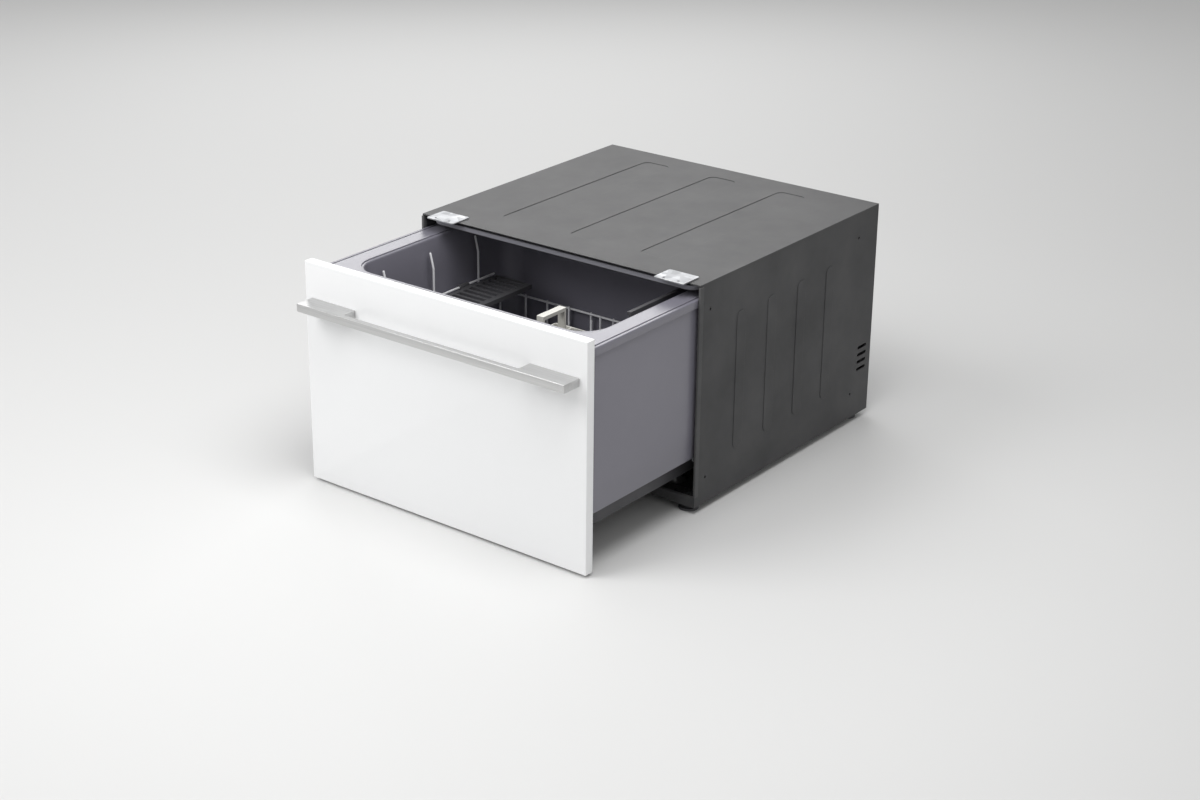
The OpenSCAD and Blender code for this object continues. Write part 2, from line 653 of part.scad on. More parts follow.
// ---- controls in the front rim ----
module control_fascia() color([0.2, 0.2, 0.22]) in_drawer() difference() {
  union() {
    slab(-fascia_w / 2, fascia_w / 2, fascia_y - fascia_d / 2, fascia_y + fascia_d / 2,
      rim_z - fascia_t - 1, rim_z);
    slab(-fascia_w / 2 - 4, fascia_w / 2 + 4, fascia_y - fascia_d / 2 - 1.5,
      fascia_y + fascia_d / 2 + 1.5, rim_z - fascia_t - flange_t, rim_z - fascia_t);
    for (x = [-1, 1]) translate([x * (fascia_w / 2 - 6), fascia_y, board_z + 1.6])
      cylinder(r = 3, h = rim_z - fascia_t - 1 - board_z);
  }
  for (x = button_x) translate([x, fascia_y, rim_z - 10]) cylinder(r = button_r + fit, h = 12);
  slab(lens_x0, lens_x1, fascia_y - 7, fascia_y + 7, rim_z - 2, rim_z + eps);
}
lens_x0 = button_x[2] + 24;
lens_x1 = fascia_w / 2 - 14;
module display_lens() color([0.03, 0.04, 0.05]) in_drawer()
  slab(lens_x0, lens_x1, fascia_y - 7, fascia_y + 7, rim_z - 2, rim_z);

module control_board() color([0.1, 0.35, 0.2]) in_drawer() {
  slab(-fascia_w / 2, fascia_w / 2, fascia_y - 10, fascia_y + 10, board_z, board_z + 1.6);
  for (x = button_x) translate([x, fascia_y, board_z + 1.5])
    cylinder(r = 3, h = button_z0 - button_travel - board_z - 1.8);
  for (i = [0:3]) slab(i * 26 - 10, i * 26 + 6, fascia_y - 6, fascia_y + 6, board_z + 1.5, board_z + 5);
}

button_z0 = rim_z - fascia_t - flange_t - 2.1;
module button(i) in_drawer() translate([button_x[i], fascia_y, button_z0]) difference() {
  union() {
    cylinder(r = button_r, h = rim_z - 0.2 - button_z0);
    cylinder(r = button_r + 2, h = 2);
  }
  // shallow dish for the fingertip
  translate([0, 0, rim_z - button_z0 - 1]) cylinder(r1 = button_r - 3, r2 = button_r - 0.6, h = 0.9);
}
module button_power() color([0.8, 0.8, 0.82]) button(0);
module button_program() color([0.8, 0.8, 0.82]) button(1);
module button_start() color([0.8, 0.8, 0.82]) button(2);

// ---- under the tub ----
module base_cover() color([0.22, 0.22, 0.24]) in_drawer() translate([0, mid_y, cover_z]) difference() {
  linear_extrude(cover_top - cover_z) rrect(cover_w, cover_d, 24);
  translate([0, 0, 2.5]) linear_extrude(seat_z) rrect(cover_w - 5, cover_d - 5, 21.5);
  for (i = [-4:4]) translate([i * 16, -cover_d / 2, 22]) rotate([90, 0, 0]) linear_extrude(20, center = true)
    rotate(90) slot2d(24, 5);
}

module motor_housing() color([0.12, 0.12, 0.13]) in_drawer() translate([0, mid_y, motor_z]) difference() {
  union() {
    cylinder(r = motor_r, h = sump_under - motor_z, $fn = 64);
    for (a = [0:45:315]) rotate([0, 0, a])
      slab(motor_r - 1, motor_r + 4, -1.5, 1.5, 6, sump_under - motor_z);
  }
  difference() {
    translate([0, 0, 3]) cylinder(r = motor_r - 2.5, h = 60, $fn = 64);
    cylinder(r = 9, h = 6);
  }
  translate([0, 0, 2]) cylinder(r = shaft_r + fit, h = 20);
}

stator_in = motor_r - 18;
module motor_stator() color([0.5, 0.33, 0.2]) in_drawer()
  translate([0, mid_y, motor_z + 8]) difference() {
  cylinder(r = motor_r - 2.5, h = 22, $fn = 64);
  translate([0, 0, -eps]) cylinder(r = stator_in, h = 30, $fn = 64);
  for (a = [0:30:330]) rotate([0, 0, a]) slab(stator_in - 4, stator_in + 10, -3, 3, -eps, 30);
}

module wash_rotor() color([0.3, 0.3, 0.32]) in_drawer() translate([0, mid_y, motor_z + 2.2]) {
  cylinder(r = shaft_r, h = seat_z - 3 - motor_z - 2.2);
  difference() {
    translate([0, 0, 4.6]) cylinder(r = stator_in - 0.8, h = 26, $fn = 64);
    translate([0, 0, 10]) cylinder(r = stator_in - 10, h = 26, $fn = 64);
  }
  translate([0, 0, 9]) cylinder(r = 10, h = 20);
  translate([0, 0, sump_z + 3 - motor_z - 2.2]) {
    cylinder(r = 33, h = 2, $fn = 64);
    cylinder(r = 8, h = 15);
    for (a = [0:60:300]) rotate([0, 0, a]) slab(5, 32, -1, 1, 0, 13);
  }
}

module heater_coil() color([0.5, 0.5, 0.5]) in_drawer() translate([0, mid_y, seat_z - wall - 1]) {
  rotate([0, 0, 100]) rotate_extrude(angle = 340, $fn = 64) translate([heater_r, 0]) circle(4);
  for (a = [100, 80]) rotate([0, 0, a]) translate([heater_r, 0, 0]) {
    sphere(4);
    translate([0, 0, -26]) cylinder(r = 4, h = 26);
  }
}

module filter_plate() color([0.72, 0.73, 0.74]) in_drawer() translate([0, mid_y, seat_z]) difference() {
  union() {
    cylinder(r = sump_r + 5.8, h = filter_t, $fn = 64);
    cylinder(r = 18, h = filter_t + 3);
    cylinder(r = pivot_r, h = arm_z + 12 - seat_z);
    translate([filter_x, 0, 0]) cylinder(r = filter_r + 4, h = filter_t + 1.2);
  }
  translate([filter_x, 0, -eps]) cylinder(r = filter_r + fit, h = 10);
  translate([0, 0, -eps]) cylinder(r = 5, h = 14);
  for (k = [0:2], a = [0:360 / (18 + 6 * k):359]) if (abs(a - 180) < 135 - 8 * k)
    rotate([0, 0, a]) translate([32 + 22 * k, 0, -eps]) cylinder(r = 2.4, h = 8, $fn = 6);
}

module drain_filter() color([0.3, 0.32, 0.36]) in_drawer() translate([filter_x, mid_y, 0]) {
  difference() {
    union() {
      translate([0, 0, sump_z + 3]) cylinder(r = filter_r, h = seat_z + filter_t + 1 - sump_z);
      translate([0, 0, seat_z + filter_t + 1.5]) cylinder(r = filter_r + 3, h = 2.5);
    }
    translate([0, 0, sump_z + 5]) cylinder(r = filter_r - 2, h = 60);
    for (a = [0:30:330]) rotate([0, 0, a]) slab(filter_r - 4, filter_r + 4, -3, 3, sump_z + 7, seat_z - 4);
  }
  slab(-filter_r + 1, filter_r - 1, -2, 2, seat_z + filter_t, seat_z + filter_t + 9);
}

// two tapered arms with raised jets, turning on the filter plate's pivot
jets = [0.3, 0.45, 0.6, 0.75, 0.9];
module spray_arm() color([0.62, 0.63, 0.66]) in_drawer() translate([0, mid_y, arm_z]) difference() {
  union() {
    translate([0, 0, -8]) cylinder(r = 17, h = 24);
    for (s = [0, 180]) rotate([0, 0, s]) {
      hull() {
        cylinder(r = 17, h = 11);
        translate([arm_r * 0.55, 8, 1]) cylinder(r = 15, h = 8);
      }
      hull() {
        translate([arm_r * 0.55, 8, 1]) cylinder(r = 15, h = 8);
        translate([arm_r - 10, -4, 2]) cylinder(r = 9, h = 5);
      }
      for (j = jets) translate([arm_r * j, 4, 6]) difference() {
        cylinder(r1 = 5, r2 = 3.5, h = 5.5);
        translate([0, 0, 1]) cylinder(r = 1.6, h = 6);
      }
    }
  }
  translate([0, 0, -9]) cylinder(r = pivot_r + fit, h = 9 + 13);
}

pump = [-146, mid_y];
module drain_pump() color([0.14, 0.14, 0.15]) in_drawer() difference() {
  union() {
    translate([pump[0], pump[1], sump_z - 3]) cylinder(r = 27, h = 22);
    translate([pump[0], pump[1], cover_z + 2.5]) cylinder(r = 21, h = sump_z - cover_z - 5);
    translate([pump[0], pump[1], sump_z + 6]) rotate([0, 90, 0]) cylinder(r = 7, h = -pump[0] - sump_r + 4);
    translate([pump[0] - 14, pump[1], sump_z + 8]) rotate([-90, 0, 0]) cylinder(r = 8, h = 70);
  }
  translate([0, mid_y, sump_under - eps]) cylinder(r = sump_r + wall, h = 60, $fn = 64);
  translate([pump[0], pump[1], sump_z]) cylinder(r = 23, h = 15);
  translate([pump[0], pump[1], sump_z - 10]) cylinder(r = 2 + fit, h = 20);
  translate([pump[0], pump[1], sump_z + 6]) rotate([0, 90, 0]) cylinder(r = 5, h = 80);
  translate([pump[0] - 14, pump[1], sump_z + 8]) rotate([-90, 0, 0]) cylinder(r = 6, h = 80);
}

module drain_impeller() color([0.8, 0.8, 0.78]) in_drawer() translate([pump[0], pump[1], sump_z - 9]) {
  cylinder(r = 2, h = 20);
  translate([0, 0, 10.5]) cylinder(r = 5, h = 11);
  for (a = [0:90:270]) rotate([0, 0, a]) slab(3, 19, -1, 1, 11, 21);
}

// ---- detergent dispenser ----
disp_h = 72;
lid_pin = [-20, disp_y + 3, disp_z + 8];
module dispenser_body() color([0.78, 0.79, 0.8]) in_drawer() difference() {
  union() {
    intersection() {
      along_y(10, disp_y) translate([0, disp_z + disp_h / 2]) rrect(120, disp_h, 10);
      basin(0);
    }
    for (x = [-1, 1]) slab(lid_pin[0] + x * 33.5 - 2.5, lid_pin[0] + x * 33.5 + 2.5, disp_y - 0.5,
      disp_y + 6, disp_z + 3.5, disp_z + 12);
  }
  slab(lid_pin[0] - 26, lid_pin[0] + 26, disp_y - 15, disp_y + eps, disp_z + 12, disp_z + 62);
  translate([lid_pin[0] - 40, lid_pin[1], lid_pin[2]]) rotate([0, 90, 0]) cylinder(r = 1.5 + fit, h = 80);
  translate([36, disp_y - 10, disp_z + disp_h / 2]) rotate([-90, 0, 0]) cylinder(r = 8 + fit, h = 20);
}

module dispenser_lid() color([0.6, 0.62, 0.65]) in_drawer() {
  slab(lid_pin[0] - 29, lid_pin[0] + 29, disp_y + 0.4, disp_y + 3.4, lid_pin[2] + 1, disp_z + 66);
  translate([lid_pin[0] - 30.5, lid_pin[1], lid_pin[2]]) rotate([0, 90, 0]) cylinder(r = 2.4, h = 61);
  translate([lid_pin[0] - 35.5, lid_pin[1], lid_pin[2]]) rotate([0, 90, 0]) cylinder(r = 1.5, h = 71);
  slab(lid_pin[0] - 12, lid_pin[0] + 12, disp_y + 3, disp_y + 6, disp_z + 58, disp_z + 61);
}

module rinse_cap() color([0.75, 0.78, 0.82]) in_drawer() translate([36, disp_y, disp_z + disp_h / 2])
  rotate([-90, 0, 0]) {
    translate([0, 0, 0.3]) cylinder(r = 14, h = 3);
    translate([0, 0, -9]) cylinder(r = 8, h = 10);
    slab(-11, 11, -1.8, 1.8, 3, 9);
  }

// ---- inner lid ----
module lid_panel() color([0.3, 0.3, 0.33]) in_housing() translate([0, tub_d / 2, lid_z]) difference() {
  union() {
    linear_extrude(lid_t) rrect(lid_w, lid_l, 24);
    for (x = [-180:60:180])
      slab(x - 1.2, x + 1.2, -lid_l / 2 + 24, lid_l / 2 - 40, lid_t - 0.5, lid_t + lid_rib);
    for (y = [-150:75:150])
      slab(-lid_w / 2 + 24, lid_w / 2 - 24, y - 1.2, y + 1.2, lid_t - 0.5, lid_t + lid_rib);
    both_sides() translate([guide[0], guide[1] - tub_d / 2, lid_t - 0.5]) cylinder(r = 8, h = lid_rib + 0.5);
  }
  // drawn-up middle of the underside
  translate([0, 0, -eps]) linear_extrude(3 + eps) rrect(lid_w - 110, lid_l - 110, 30);
  both_sides() translate([guide[0], guide[1] - tub_d / 2, -eps]) cylinder(r = 3 + fit, h = 30);
}

module lid_seal() color([0.08, 0.08, 0.08]) in_housing() translate([0, tub_d / 2, seal_z]) {
  linear_extrude(seal_h) ring2d(lid_w - 10, lid_l - 10, 20, 7);
}

// involute tooth flank: point at roll angle t (degrees) off a base circle
function inv(rb, t) = rb * [cos(t) + t * PI / 180 * sin(t), sin(t) - t * PI / 180 * cos(t)];
function spin(p, a) = [p[0] * cos(a) - p[1] * sin(a), p[0] * sin(a) + p[1] * cos(a)];
backlash = 0.12;
module pinion2d() {
  rb = pitch_r * cos(20);
  tip = pitch_r + 0.8 * gear_m;
  t_tip = sqrt(tip * tip / (rb * rb) - 1) * 180 / PI;
  t_pitch = sqrt(pitch_r * pitch_r / (rb * rb) - 1) * 180 / PI;
  p = inv(rb, t_pitch);
  half = 90 / gear_z - backlash / pitch_r * 90 / PI + atan2(p[1], p[0]);
  flank = [for (i = [0:5]) spin(inv(rb, t_tip * i / 5), -half)];
  other = [for (i = [5:-1:0]) [flank[i][0], -flank[i][1]]];
  root = pitch_r - 1.1 * gear_m;
  circle(root, $fn = 36);
  for (k = [0:gear_z - 1]) rotate(k * 360 / gear_z)
    polygon(concat([[root * 0.8, flank[0][1]]], flank, other, [[root * 0.8, -flank[0][1]]]));
}

// pinions turn on X; a gap faces the rack tooth at the pinion's own height
module pinion(s) in_housing() translate([s * lift_x, pinion_y, pinion_z]) {
  along_x(-pinion_w / 2, pinion_w / 2) rotate(180 + 180 / gear_z) pinion2d();
  translate([-pinion_w / 2 - 6, 0, 0]) rotate([0, 90, 0]) cylinder(r = 3, h = pinion_w + 12);
}
module lift_pinion_left() color([0.9, 0.88, 0.8]) pinion(-1);
module lift_pinion_right() color([0.9, 0.88, 0.8]) pinion(1);

module lid_lift_racks() color([0.85, 0.83, 0.75]) in_housing() both_sides() {
  tooth = PI * gear_m;
  add = 0.7 * gear_m;
  z1 = lid_z + lid_t + 3;
  slab(lift_x - 7, lift_x + 7, tub_d - 46, rack_face, lid_z + lid_t, z1);
  slab(lift_x - 5, lift_x + 5, tub_d + 8, rack_face, pinion_z - 20, z1);
  translate([0, pitch_y, pinion_z]) along_x(lift_x - 5, lift_x + 5) for (k = [-3:5])
    translate([0, k * tooth]) polygon([
      [-1.2 * gear_m - 0.5, -tooth / 4 + backlash / 2 - 1.2 * gear_m * tan(20)],
      [-1.2 * gear_m, -tooth / 4 + backlash / 2 - 1.2 * gear_m * tan(20)],
      [add, -tooth / 4 + backlash / 2 + add * tan(20)], [add, tooth / 4 - backlash / 2 - add * tan(20)],
      [-1.2 * gear_m, tooth / 4 - backlash / 2 + 1.2 * gear_m * tan(20)],
      [-1.2 * gear_m - 0.5, tooth / 4 - backlash / 2 + 1.2 * gear_m * tan(20)]]);
}

module lid_actuators() color([0.14, 0.14, 0.16]) in_housing() both_sides() difference() {
  union() {
    slab(lift_x - 16, lift_x + 16, rack_face + 4, back_y, pinion_z - 40, pinion_z + 24);
    translate([lift_x, (rack_face + 4 + back_y) / 2, pinion_z - 96]) cylinder(r = 14, h = 57);
  }
  slab(lift_x - pinion_w / 2 - 1, lift_x + pinion_w / 2 + 1, rack_face, pinion_y + pitch_r + 3,
    pinion_z - pitch_r - 4, pinion_z + pitch_r + 4);
  translate([lift_x - pinion_w / 2 - 7, pinion_y, pinion_z]) rotate([0, 90, 0])
    cylinder(r = 3 + fit, h = pinion_w + 14);
}

// ---- racks and baskets ----
bend_r = 12;
lean_h = 36; // height of the curved tip of a tall wire
lean_out = 5; // how far that tip leans out
lean_r = (lean_h * lean_h + lean_out * lean_out) / (2 * lean_out);
// cross wire: base, two bends, and two uprights whose tips may curve outwards
module cross_wire(y, top, lean = false) translate([0, y, 0]) {
  straight = rack_z + top - (lean ? lean_h : 0);
  rod([-rack_x + bend_r, 0, rack_z], [rack_x - bend_r, 0, rack_z]);
  both_sides() {
    translate([rack_x - bend_r, 0, rack_z + bend_r]) mirror([0, 0, 1]) bend(bend_r);
    rod([rack_x, 0, rack_z + bend_r], [rack_x, 0, straight]);
    if (lean) translate([rack_x + lean_r, 0, straight]) mirror([1, 0, 0]) rotate([90, 0, 0])
      rotate_extrude(angle = asin(lean_h / lean_r)) translate([lean_r, 0]) circle(wire_r);
  }
}
long_n = 4;
long_pitch = (rack_x - 34) / long_n;
long_z = rack_z - wire_d + weld;
module long_wire(x) translate([x, mid_y, 0]) {
  rod([0, -rack_y + bend_r, long_z], [0, rack_y - bend_r, long_z]);
  for (s = [0, 180]) rotate([0, 0, s + 90]) {
    translate([rack_y - bend_r, 0, long_z + bend_r]) mirror([0, 0, 1]) bend(bend_r);
    rod([rack_y, 0, long_z + bend_r], [rack_y, 0, rack_z + rail_h]);
  }
}
// closed loop of wire with round corners
module loop(x, y, z, r) translate([0, mid_y, z]) {
  for (s = [-1, 1]) {
    rod([-x + r, s * y, 0], [x - r, s * y, 0]);
    rod([s * x, -y + r, 0], [s * x, y - r, 0]);
  }
  for (a = [0:90:270]) translate([sign(cos(a + 45)) * (x - r), sign(sin(a + 45)) * (y - r), 0])
    rotate([0, 0, a]) rotate_extrude(angle = 90) translate([r, 0]) circle(wire_r);
}
module rack_cross_wires() color([0.8, 0.8, 0.82]) in_drawer() {
  for (y = tall_y) cross_wire(y, rack_h, true);
  for (y = low_y) cross_wire(y, rail_h);
}
module rack_long_wires() color([0.8, 0.8, 0.82]) in_drawer()
  for (i = [-long_n:long_n]) long_wire(i * long_pitch);
module rack_rails() color([0.8, 0.8, 0.82]) in_drawer() {
  loop(rail_x, rack_y - wire_d + weld, rack_z + rail_h - wire_r, 20);
  both_sides() rod([rail_x, tall_y[0] - 40, shelf_z], [rail_x, tall_y[2] + 40, shelf_z]);
}

clip_r = 6;
module tine_clips() color([0.45, 0.46, 0.5]) in_drawer() for (r = [0:3], k = row_clips[r]) difference() {
  translate([row_x[r], tall_y[k], 0]) {
    slab(-clip_r, clip_r, -4, 4, rack_z, axle_z);
    translate([0, 4, axle_z]) rotate([90, 0, 0]) cylinder(r = clip_r, h = 8);
  }
  rod([-rack_x, tall_y[k], rack_z], [rack_x, tall_y[k], rack_z]);
  translate([row_x[r], 0, axle_z]) rod([0, 0, 0], [0, tub_d, 0], wire_d + 2 * fit);
}

// one row of tines on its axle
module tine_row(r) in_drawer() translate([row_x[r], 0, axle_z]) {
  rod([0, row_y0[r], 0], [0, row_y1, 0]);
  for (y = [row_y0[r] + 8:tine_pitch:row_y1 - 6])
    if (min([for (k = row_clips[r]) abs(y - tall_y[k])]) > 4 + wire_d)
      rod([0, y, 0], [0, y, tine_h]);
}
module tine_row_left() color([0.8, 0.8, 0.82]) tine_row(0);
module tine_row_centre() color([0.8, 0.8, 0.82]) tine_row(1);
module tine_row_right() color([0.8, 0.8, 0.82]) tine_row(2);
module tine_row_end() color([0.8, 0.8, 0.82]) tine_row(3);

// moulded shelf that folds on the rack's upper side wire: slots, drip lip and two clip hinges
module cup_shelf(y0, y1, clips) {
  n = floor((y1 - y0 - 20) / 16);
  pitch = (y1 - y0 - 12) / n;
  difference() {
    union() {
      slab(-shelf_w, -8, y0, y1, -shelf_t, 0);
      slab(-shelf_w, -shelf_w + 5, y0, y1, -shelf_t - 3, 0);
      for (y = clips) {
        translate([0, y + 24, 0]) rotate([90, 0, 0]) cylinder(r = wire_r + 2.6, h = 24);
        slab(-10, 0, y, y + 24, -shelf_t, 0);
      }
    }
    for (i = [0:n - 1]) slab(-shelf_w + 12, -16, y0 + 6 + i * pitch + 3, y0 + 6 + (i + 1) * pitch - 3,
      -shelf_t - eps, eps);
    rod([0, y0 - eps, 0], [0, y1 + eps, 0], wire_d + 2 * fit);
    // mouth of each clip, for pressing it over the wire
    slab(1, 20, y0 - eps, y1 + eps, -wire_r * 0.8, wire_r * 0.8);
  }
}
shelf_y = [tall_y[0] - 40, tall_y[2] + 40];
fold = 85; // how far a cup shelf folds
module cup_shelf_left() color([0.2, 0.2, 0.22]) in_drawer() translate([-rail_x, 0, shelf_z])
  mirror([1, 0, 0]) cup_shelf(shelf_y[0] + 4, shelf_y[1] - 4, [tall_y[0] + 34, tall_y[2] - 58]);
module cup_shelf_right() color([0.2, 0.2, 0.22]) in_drawer() translate([rail_x, 0, shelf_z])
  rotate([0, fold, 0]) cup_shelf(tall_y[1] - 38, shelf_y[1] - 4, [tall_y[1] - 32, tall_y[2] - 58]);

// basket of eight cells with pierced walls, and a grip that bridges its middle
cell = [(basket_w - 7.5) / 2, (basket_d - 12.5) / 4];
module cutlery_basket() color([0.62, 0.62, 0.64]) in_drawer()
  translate([basket_x, basket_y, basket_z]) {
    difference() {
      linear_extrude(basket_h) rrect(basket_w, basket_d, 6);
      for (i = [-0.5, 0.5], j = [-1.5:1.5]) translate([i * (cell[0] + 2.5), j * (cell[1] + 2.5), 2.5]) {
        linear_extrude(basket_h) rrect(cell[0], cell[1], 3);
        for (k = [-1:1]) slab(-cell[0] / 2 + 4, cell[0] / 2 - 4, k * 7 - 1.5, k * 7 + 1.5, -4, 2);
      }
      for (z = [12, 52, 92], k = [-0.5, 0.5]) if (z + 34 < basket_h) {
        for (j = [-1.5:1.5]) translate([0, j * (cell[1] + 2.5) + k * 11, z])
          slab(-basket_w, basket_w, -3.5, 3.5, 0, 34);
        for (i = [-0.5, 0.5]) translate([i * (cell[0] + 2.5) + k * 14, 0, z])
          slab(-4.5, 4.5, -basket_d, basket_d, 0, 34);
      }
    }
    for (s = [-1, 1]) slab(-7, 7, s * (cell[1] + 2.5) - 2, s * (cell[1] + 2.5) + 2, basket_h - 6,
      basket_h + basket_grip);
    slab(-7, 7, -cell[1] - 4, cell[1] + 4, basket_h + basket_grip - 6, basket_h + basket_grip);
  }

chassis_side_left();
chassis_side_right();
back_panel();
top_panel();
base_pan();
base_front_rail();
side_trims();
levelling_feet();
housing_hardware();
runner_outers();
lid_actuators();
inlet_valve();
terminal_box();
flood_switch();
flood_float();
lid_panel();
lid_seal();
lid_lift_racks();
lift_pinion_left();
lift_pinion_right();
runner_mid_left();
runner_mid_right();
roller_cage_left();
roller_cage_right();
tub();
panel_bracket();
front_panel();
handle_bar();
panel_screws();
runner_inners();
control_fascia();
display_lens();
control_board();
button_power();
button_program();
button_start();
base_cover();
motor_housing();
motor_stator();
wash_rotor();
heater_coil();
filter_plate();
drain_filter();
spray_arm();
drain_pump();
drain_impeller();
dispenser_body();
dispenser_lid();
rinse_cap();
rack_cross_wires();
rack_long_wires();
rack_rails();
tine_clips();
tine_row_left();
tine_row_centre();
tine_row_right();
tine_row_end();
cup_shelf_left();
cup_shelf_right();
cutlery_basket();
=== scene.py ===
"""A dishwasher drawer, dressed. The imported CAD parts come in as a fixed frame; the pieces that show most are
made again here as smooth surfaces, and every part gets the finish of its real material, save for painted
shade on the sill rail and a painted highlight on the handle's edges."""

import json
import math

import bpy
import numpy as np
from mathutils import Matrix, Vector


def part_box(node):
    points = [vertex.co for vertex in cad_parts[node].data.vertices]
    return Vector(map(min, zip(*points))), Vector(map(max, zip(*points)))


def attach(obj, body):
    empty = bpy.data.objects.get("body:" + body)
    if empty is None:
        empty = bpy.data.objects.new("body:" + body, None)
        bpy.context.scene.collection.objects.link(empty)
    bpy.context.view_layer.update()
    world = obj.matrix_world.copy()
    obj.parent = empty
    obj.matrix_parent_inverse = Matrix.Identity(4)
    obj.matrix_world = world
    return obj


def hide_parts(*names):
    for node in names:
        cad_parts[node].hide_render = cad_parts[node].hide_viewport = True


bl_info = {
    "name": "Dishwasher drawer",
    "version": (1, 0, 0),
    "blender": (4, 5, 0),
    "location": "3D View > Sidebar > Drawer",
    "description": "Builds the pieces, the finishes and the stage of a dishwasher drawer",
    "category": "Object",
}

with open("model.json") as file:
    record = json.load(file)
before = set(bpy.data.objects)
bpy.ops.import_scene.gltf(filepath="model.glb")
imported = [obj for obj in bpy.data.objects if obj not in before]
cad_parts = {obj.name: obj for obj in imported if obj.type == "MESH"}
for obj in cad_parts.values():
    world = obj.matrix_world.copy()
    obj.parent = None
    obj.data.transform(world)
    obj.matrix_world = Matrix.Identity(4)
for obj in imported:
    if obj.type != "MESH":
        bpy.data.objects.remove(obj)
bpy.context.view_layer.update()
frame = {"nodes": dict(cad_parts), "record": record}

MM = 0.001  # shapes are worked out in millimetres, and Blender's units are metres
DRAWER_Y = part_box("tub")[0].y / MM  # where the front edge of the tub stands
HOUSING_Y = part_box("chassis_side_left")[0].y / MM
SLAB_LOW, SLAB_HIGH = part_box("front_panel")
HANDLE_LOW, HANDLE_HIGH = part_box("handle_bar")
TUB_LOW, TUB_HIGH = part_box("tub")

# levels and places in the tub, in millimetres from its middle, its front edge and the floor
RIM_Z = TUB_HIGH.z / MM
SKIRT_Z = TUB_LOW.z / MM
FLOOR_Z = RIM_Z - 253
SUMP_Z = FLOOR_Z - 26
MID_Y = 252
LIP_X = 294  # half the width over the lip
LIP_Y = 500  # depth over the lip
MOUTH_X = 250  # half the width of the basin's mouth
MOUTH_Y = (46, 458)  # front and back of the mouth
MOUTH_R = 45  # its corners
WALL = 3  # thickness of the moulding
FLOOR_R = 30  # radius between the basin's walls and its floor
DRAFT = 10  # how far the basin draws in from the mouth to that radius
NOTCH_Z = SKIRT_Z + 59  # top of the cut-outs for the runners in the skirt's back corners
RIM_CUT = 2  # depth of the rim's groove and step

# the rack and its wires
RACK_Z = FLOOR_Z + 48
RACK_X = 234
RACK_Y = 190
RAIL_X = 230.1
RAIL_RISE = 54  # from the rack's floor to the top of the rail round it
SHELF_ROD_Z = RACK_Z + 102
BEND = 12  # radius of the bends
WELD = 0.1  # how far welded wires sink into each other
TALL_Y = (110, 230, 350)  # places of the cross wires with tall ends
LOW_Y = (170, 290, 410)  # places of those that end at the rail
TALL_RISE = 182
TIP_H = 28  # height and lean of the kinked tips
TIP_OUT = 7
LONG_PITCH = 50
AXLE_Z = RACK_Z + 8
TINE_H = 62
TINE_PITCH = 26
# each row's place across, where its axle starts, and the tall wires that its clips hold
TINE_ROWS = {
    "tine_row_left": (-70, 84, (0, 2)),
    "tine_row_centre": (0, 84, (0, 2)),
    "tine_row_right": (85, 206, (1, 2)),
    "tine_row_end": (155, 206, (1, 2)),
}


class DrawerSizes(bpy.types.PropertyGroup):
    """Sizes of the pieces that are made here."""

    slab_arris: bpy.props.FloatProperty(
        name="Slab arris", description="Radius of the slab front's edges", default=0.0011,
        unit="LENGTH", subtype="DISTANCE")
    handle_arris: bpy.props.FloatProperty(
        name="Handle arris", description="Radius of the bar handle's long edges", default=0.0009,
        unit="LENGTH", subtype="DISTANCE")
    handle_block: bpy.props.FloatProperty(
        name="Handle block", description="Length of each solid end of the handle", default=0.098,
        unit="LENGTH", subtype="DISTANCE")
    handle_bar: bpy.props.FloatProperty(
        name="Handle bar", description="Thickness of the bar in front of the finger gap", default=0.011,
        unit="LENGTH", subtype="DISTANCE")
    mouth_radius: bpy.props.FloatProperty(
        name="Mouth radius", description="Radius where the rim turns down into the basin", default=0.003,
        unit="LENGTH", subtype="DISTANCE")
    wire: bpy.props.FloatProperty(
        name="Rack wire", description="Thickness of the coated rack wire", default=0.004,
        unit="LENGTH", subtype="DISTANCE")
    camera_lens: bpy.props.FloatProperty(
        name="Lens", description="Focal length of the camera, in millimetres", default=65.8)


class DrawerColours(bpy.types.PropertyGroup):
    """Colours of the finishes that show most."""

    lacquer: bpy.props.FloatVectorProperty(
        name="Front lacquer", description="Colour of the slab front", size=3, subtype="COLOR",
        default=(0.86, 0.865, 0.87))
    tub: bpy.props.FloatVectorProperty(
        name="Tub plastic", description="Colour of the moulded tub", size=3, subtype="COLOR",
        default=(0.163, 0.158, 0.191))
    steel: bpy.props.FloatVectorProperty(
        name="Handle steel", description="Colour of the brushed steel", size=3, subtype="COLOR",
        default=(0.73, 0.73, 0.725))
    wire: bpy.props.FloatVectorProperty(
        name="Wire coating", description="Colour of the coated rack wire", size=3, subtype="COLOR",
        default=(0.78, 0.78, 0.8))
    floor: bpy.props.FloatVectorProperty(
        name="Floor", description="Colour of the studio floor", size=3, subtype="COLOR",
        default=(0.66, 0.66, 0.656))


# ---- surfaces, in millimetres ----


def grid_quads(rows, cols, wrap_rows=False, wrap_cols=False):
    """Quads between neighbouring points of a grid numbered row by row, as an array rows x cols x 4. They
    face out where the columns run counter-clockwise and the rows run upwards."""
    i, j = np.meshgrid(
        np.arange(rows if wrap_rows else rows - 1),
        np.arange(cols if wrap_cols else cols - 1),
        indexing="ij",
    )
    i1, j1 = (i + 1) % rows, (j + 1) % cols
    return np.stack([i * cols + j, i * cols + j1, i1 * cols + j1, i1 * cols + j], -1)


def ring_faces(rows, cols, closed=False):
    """Faces over rings of points, one above the other: the quads between them and, unless the last ring
    runs on into the first, a cap at either end."""
    faces = grid_quads(rows, cols, closed, True).reshape(-1, 4).tolist()
    if not closed:
        faces.append(list(range(cols))[::-1])
        faces.append(list(range((rows - 1) * cols, rows * cols)))
    return faces


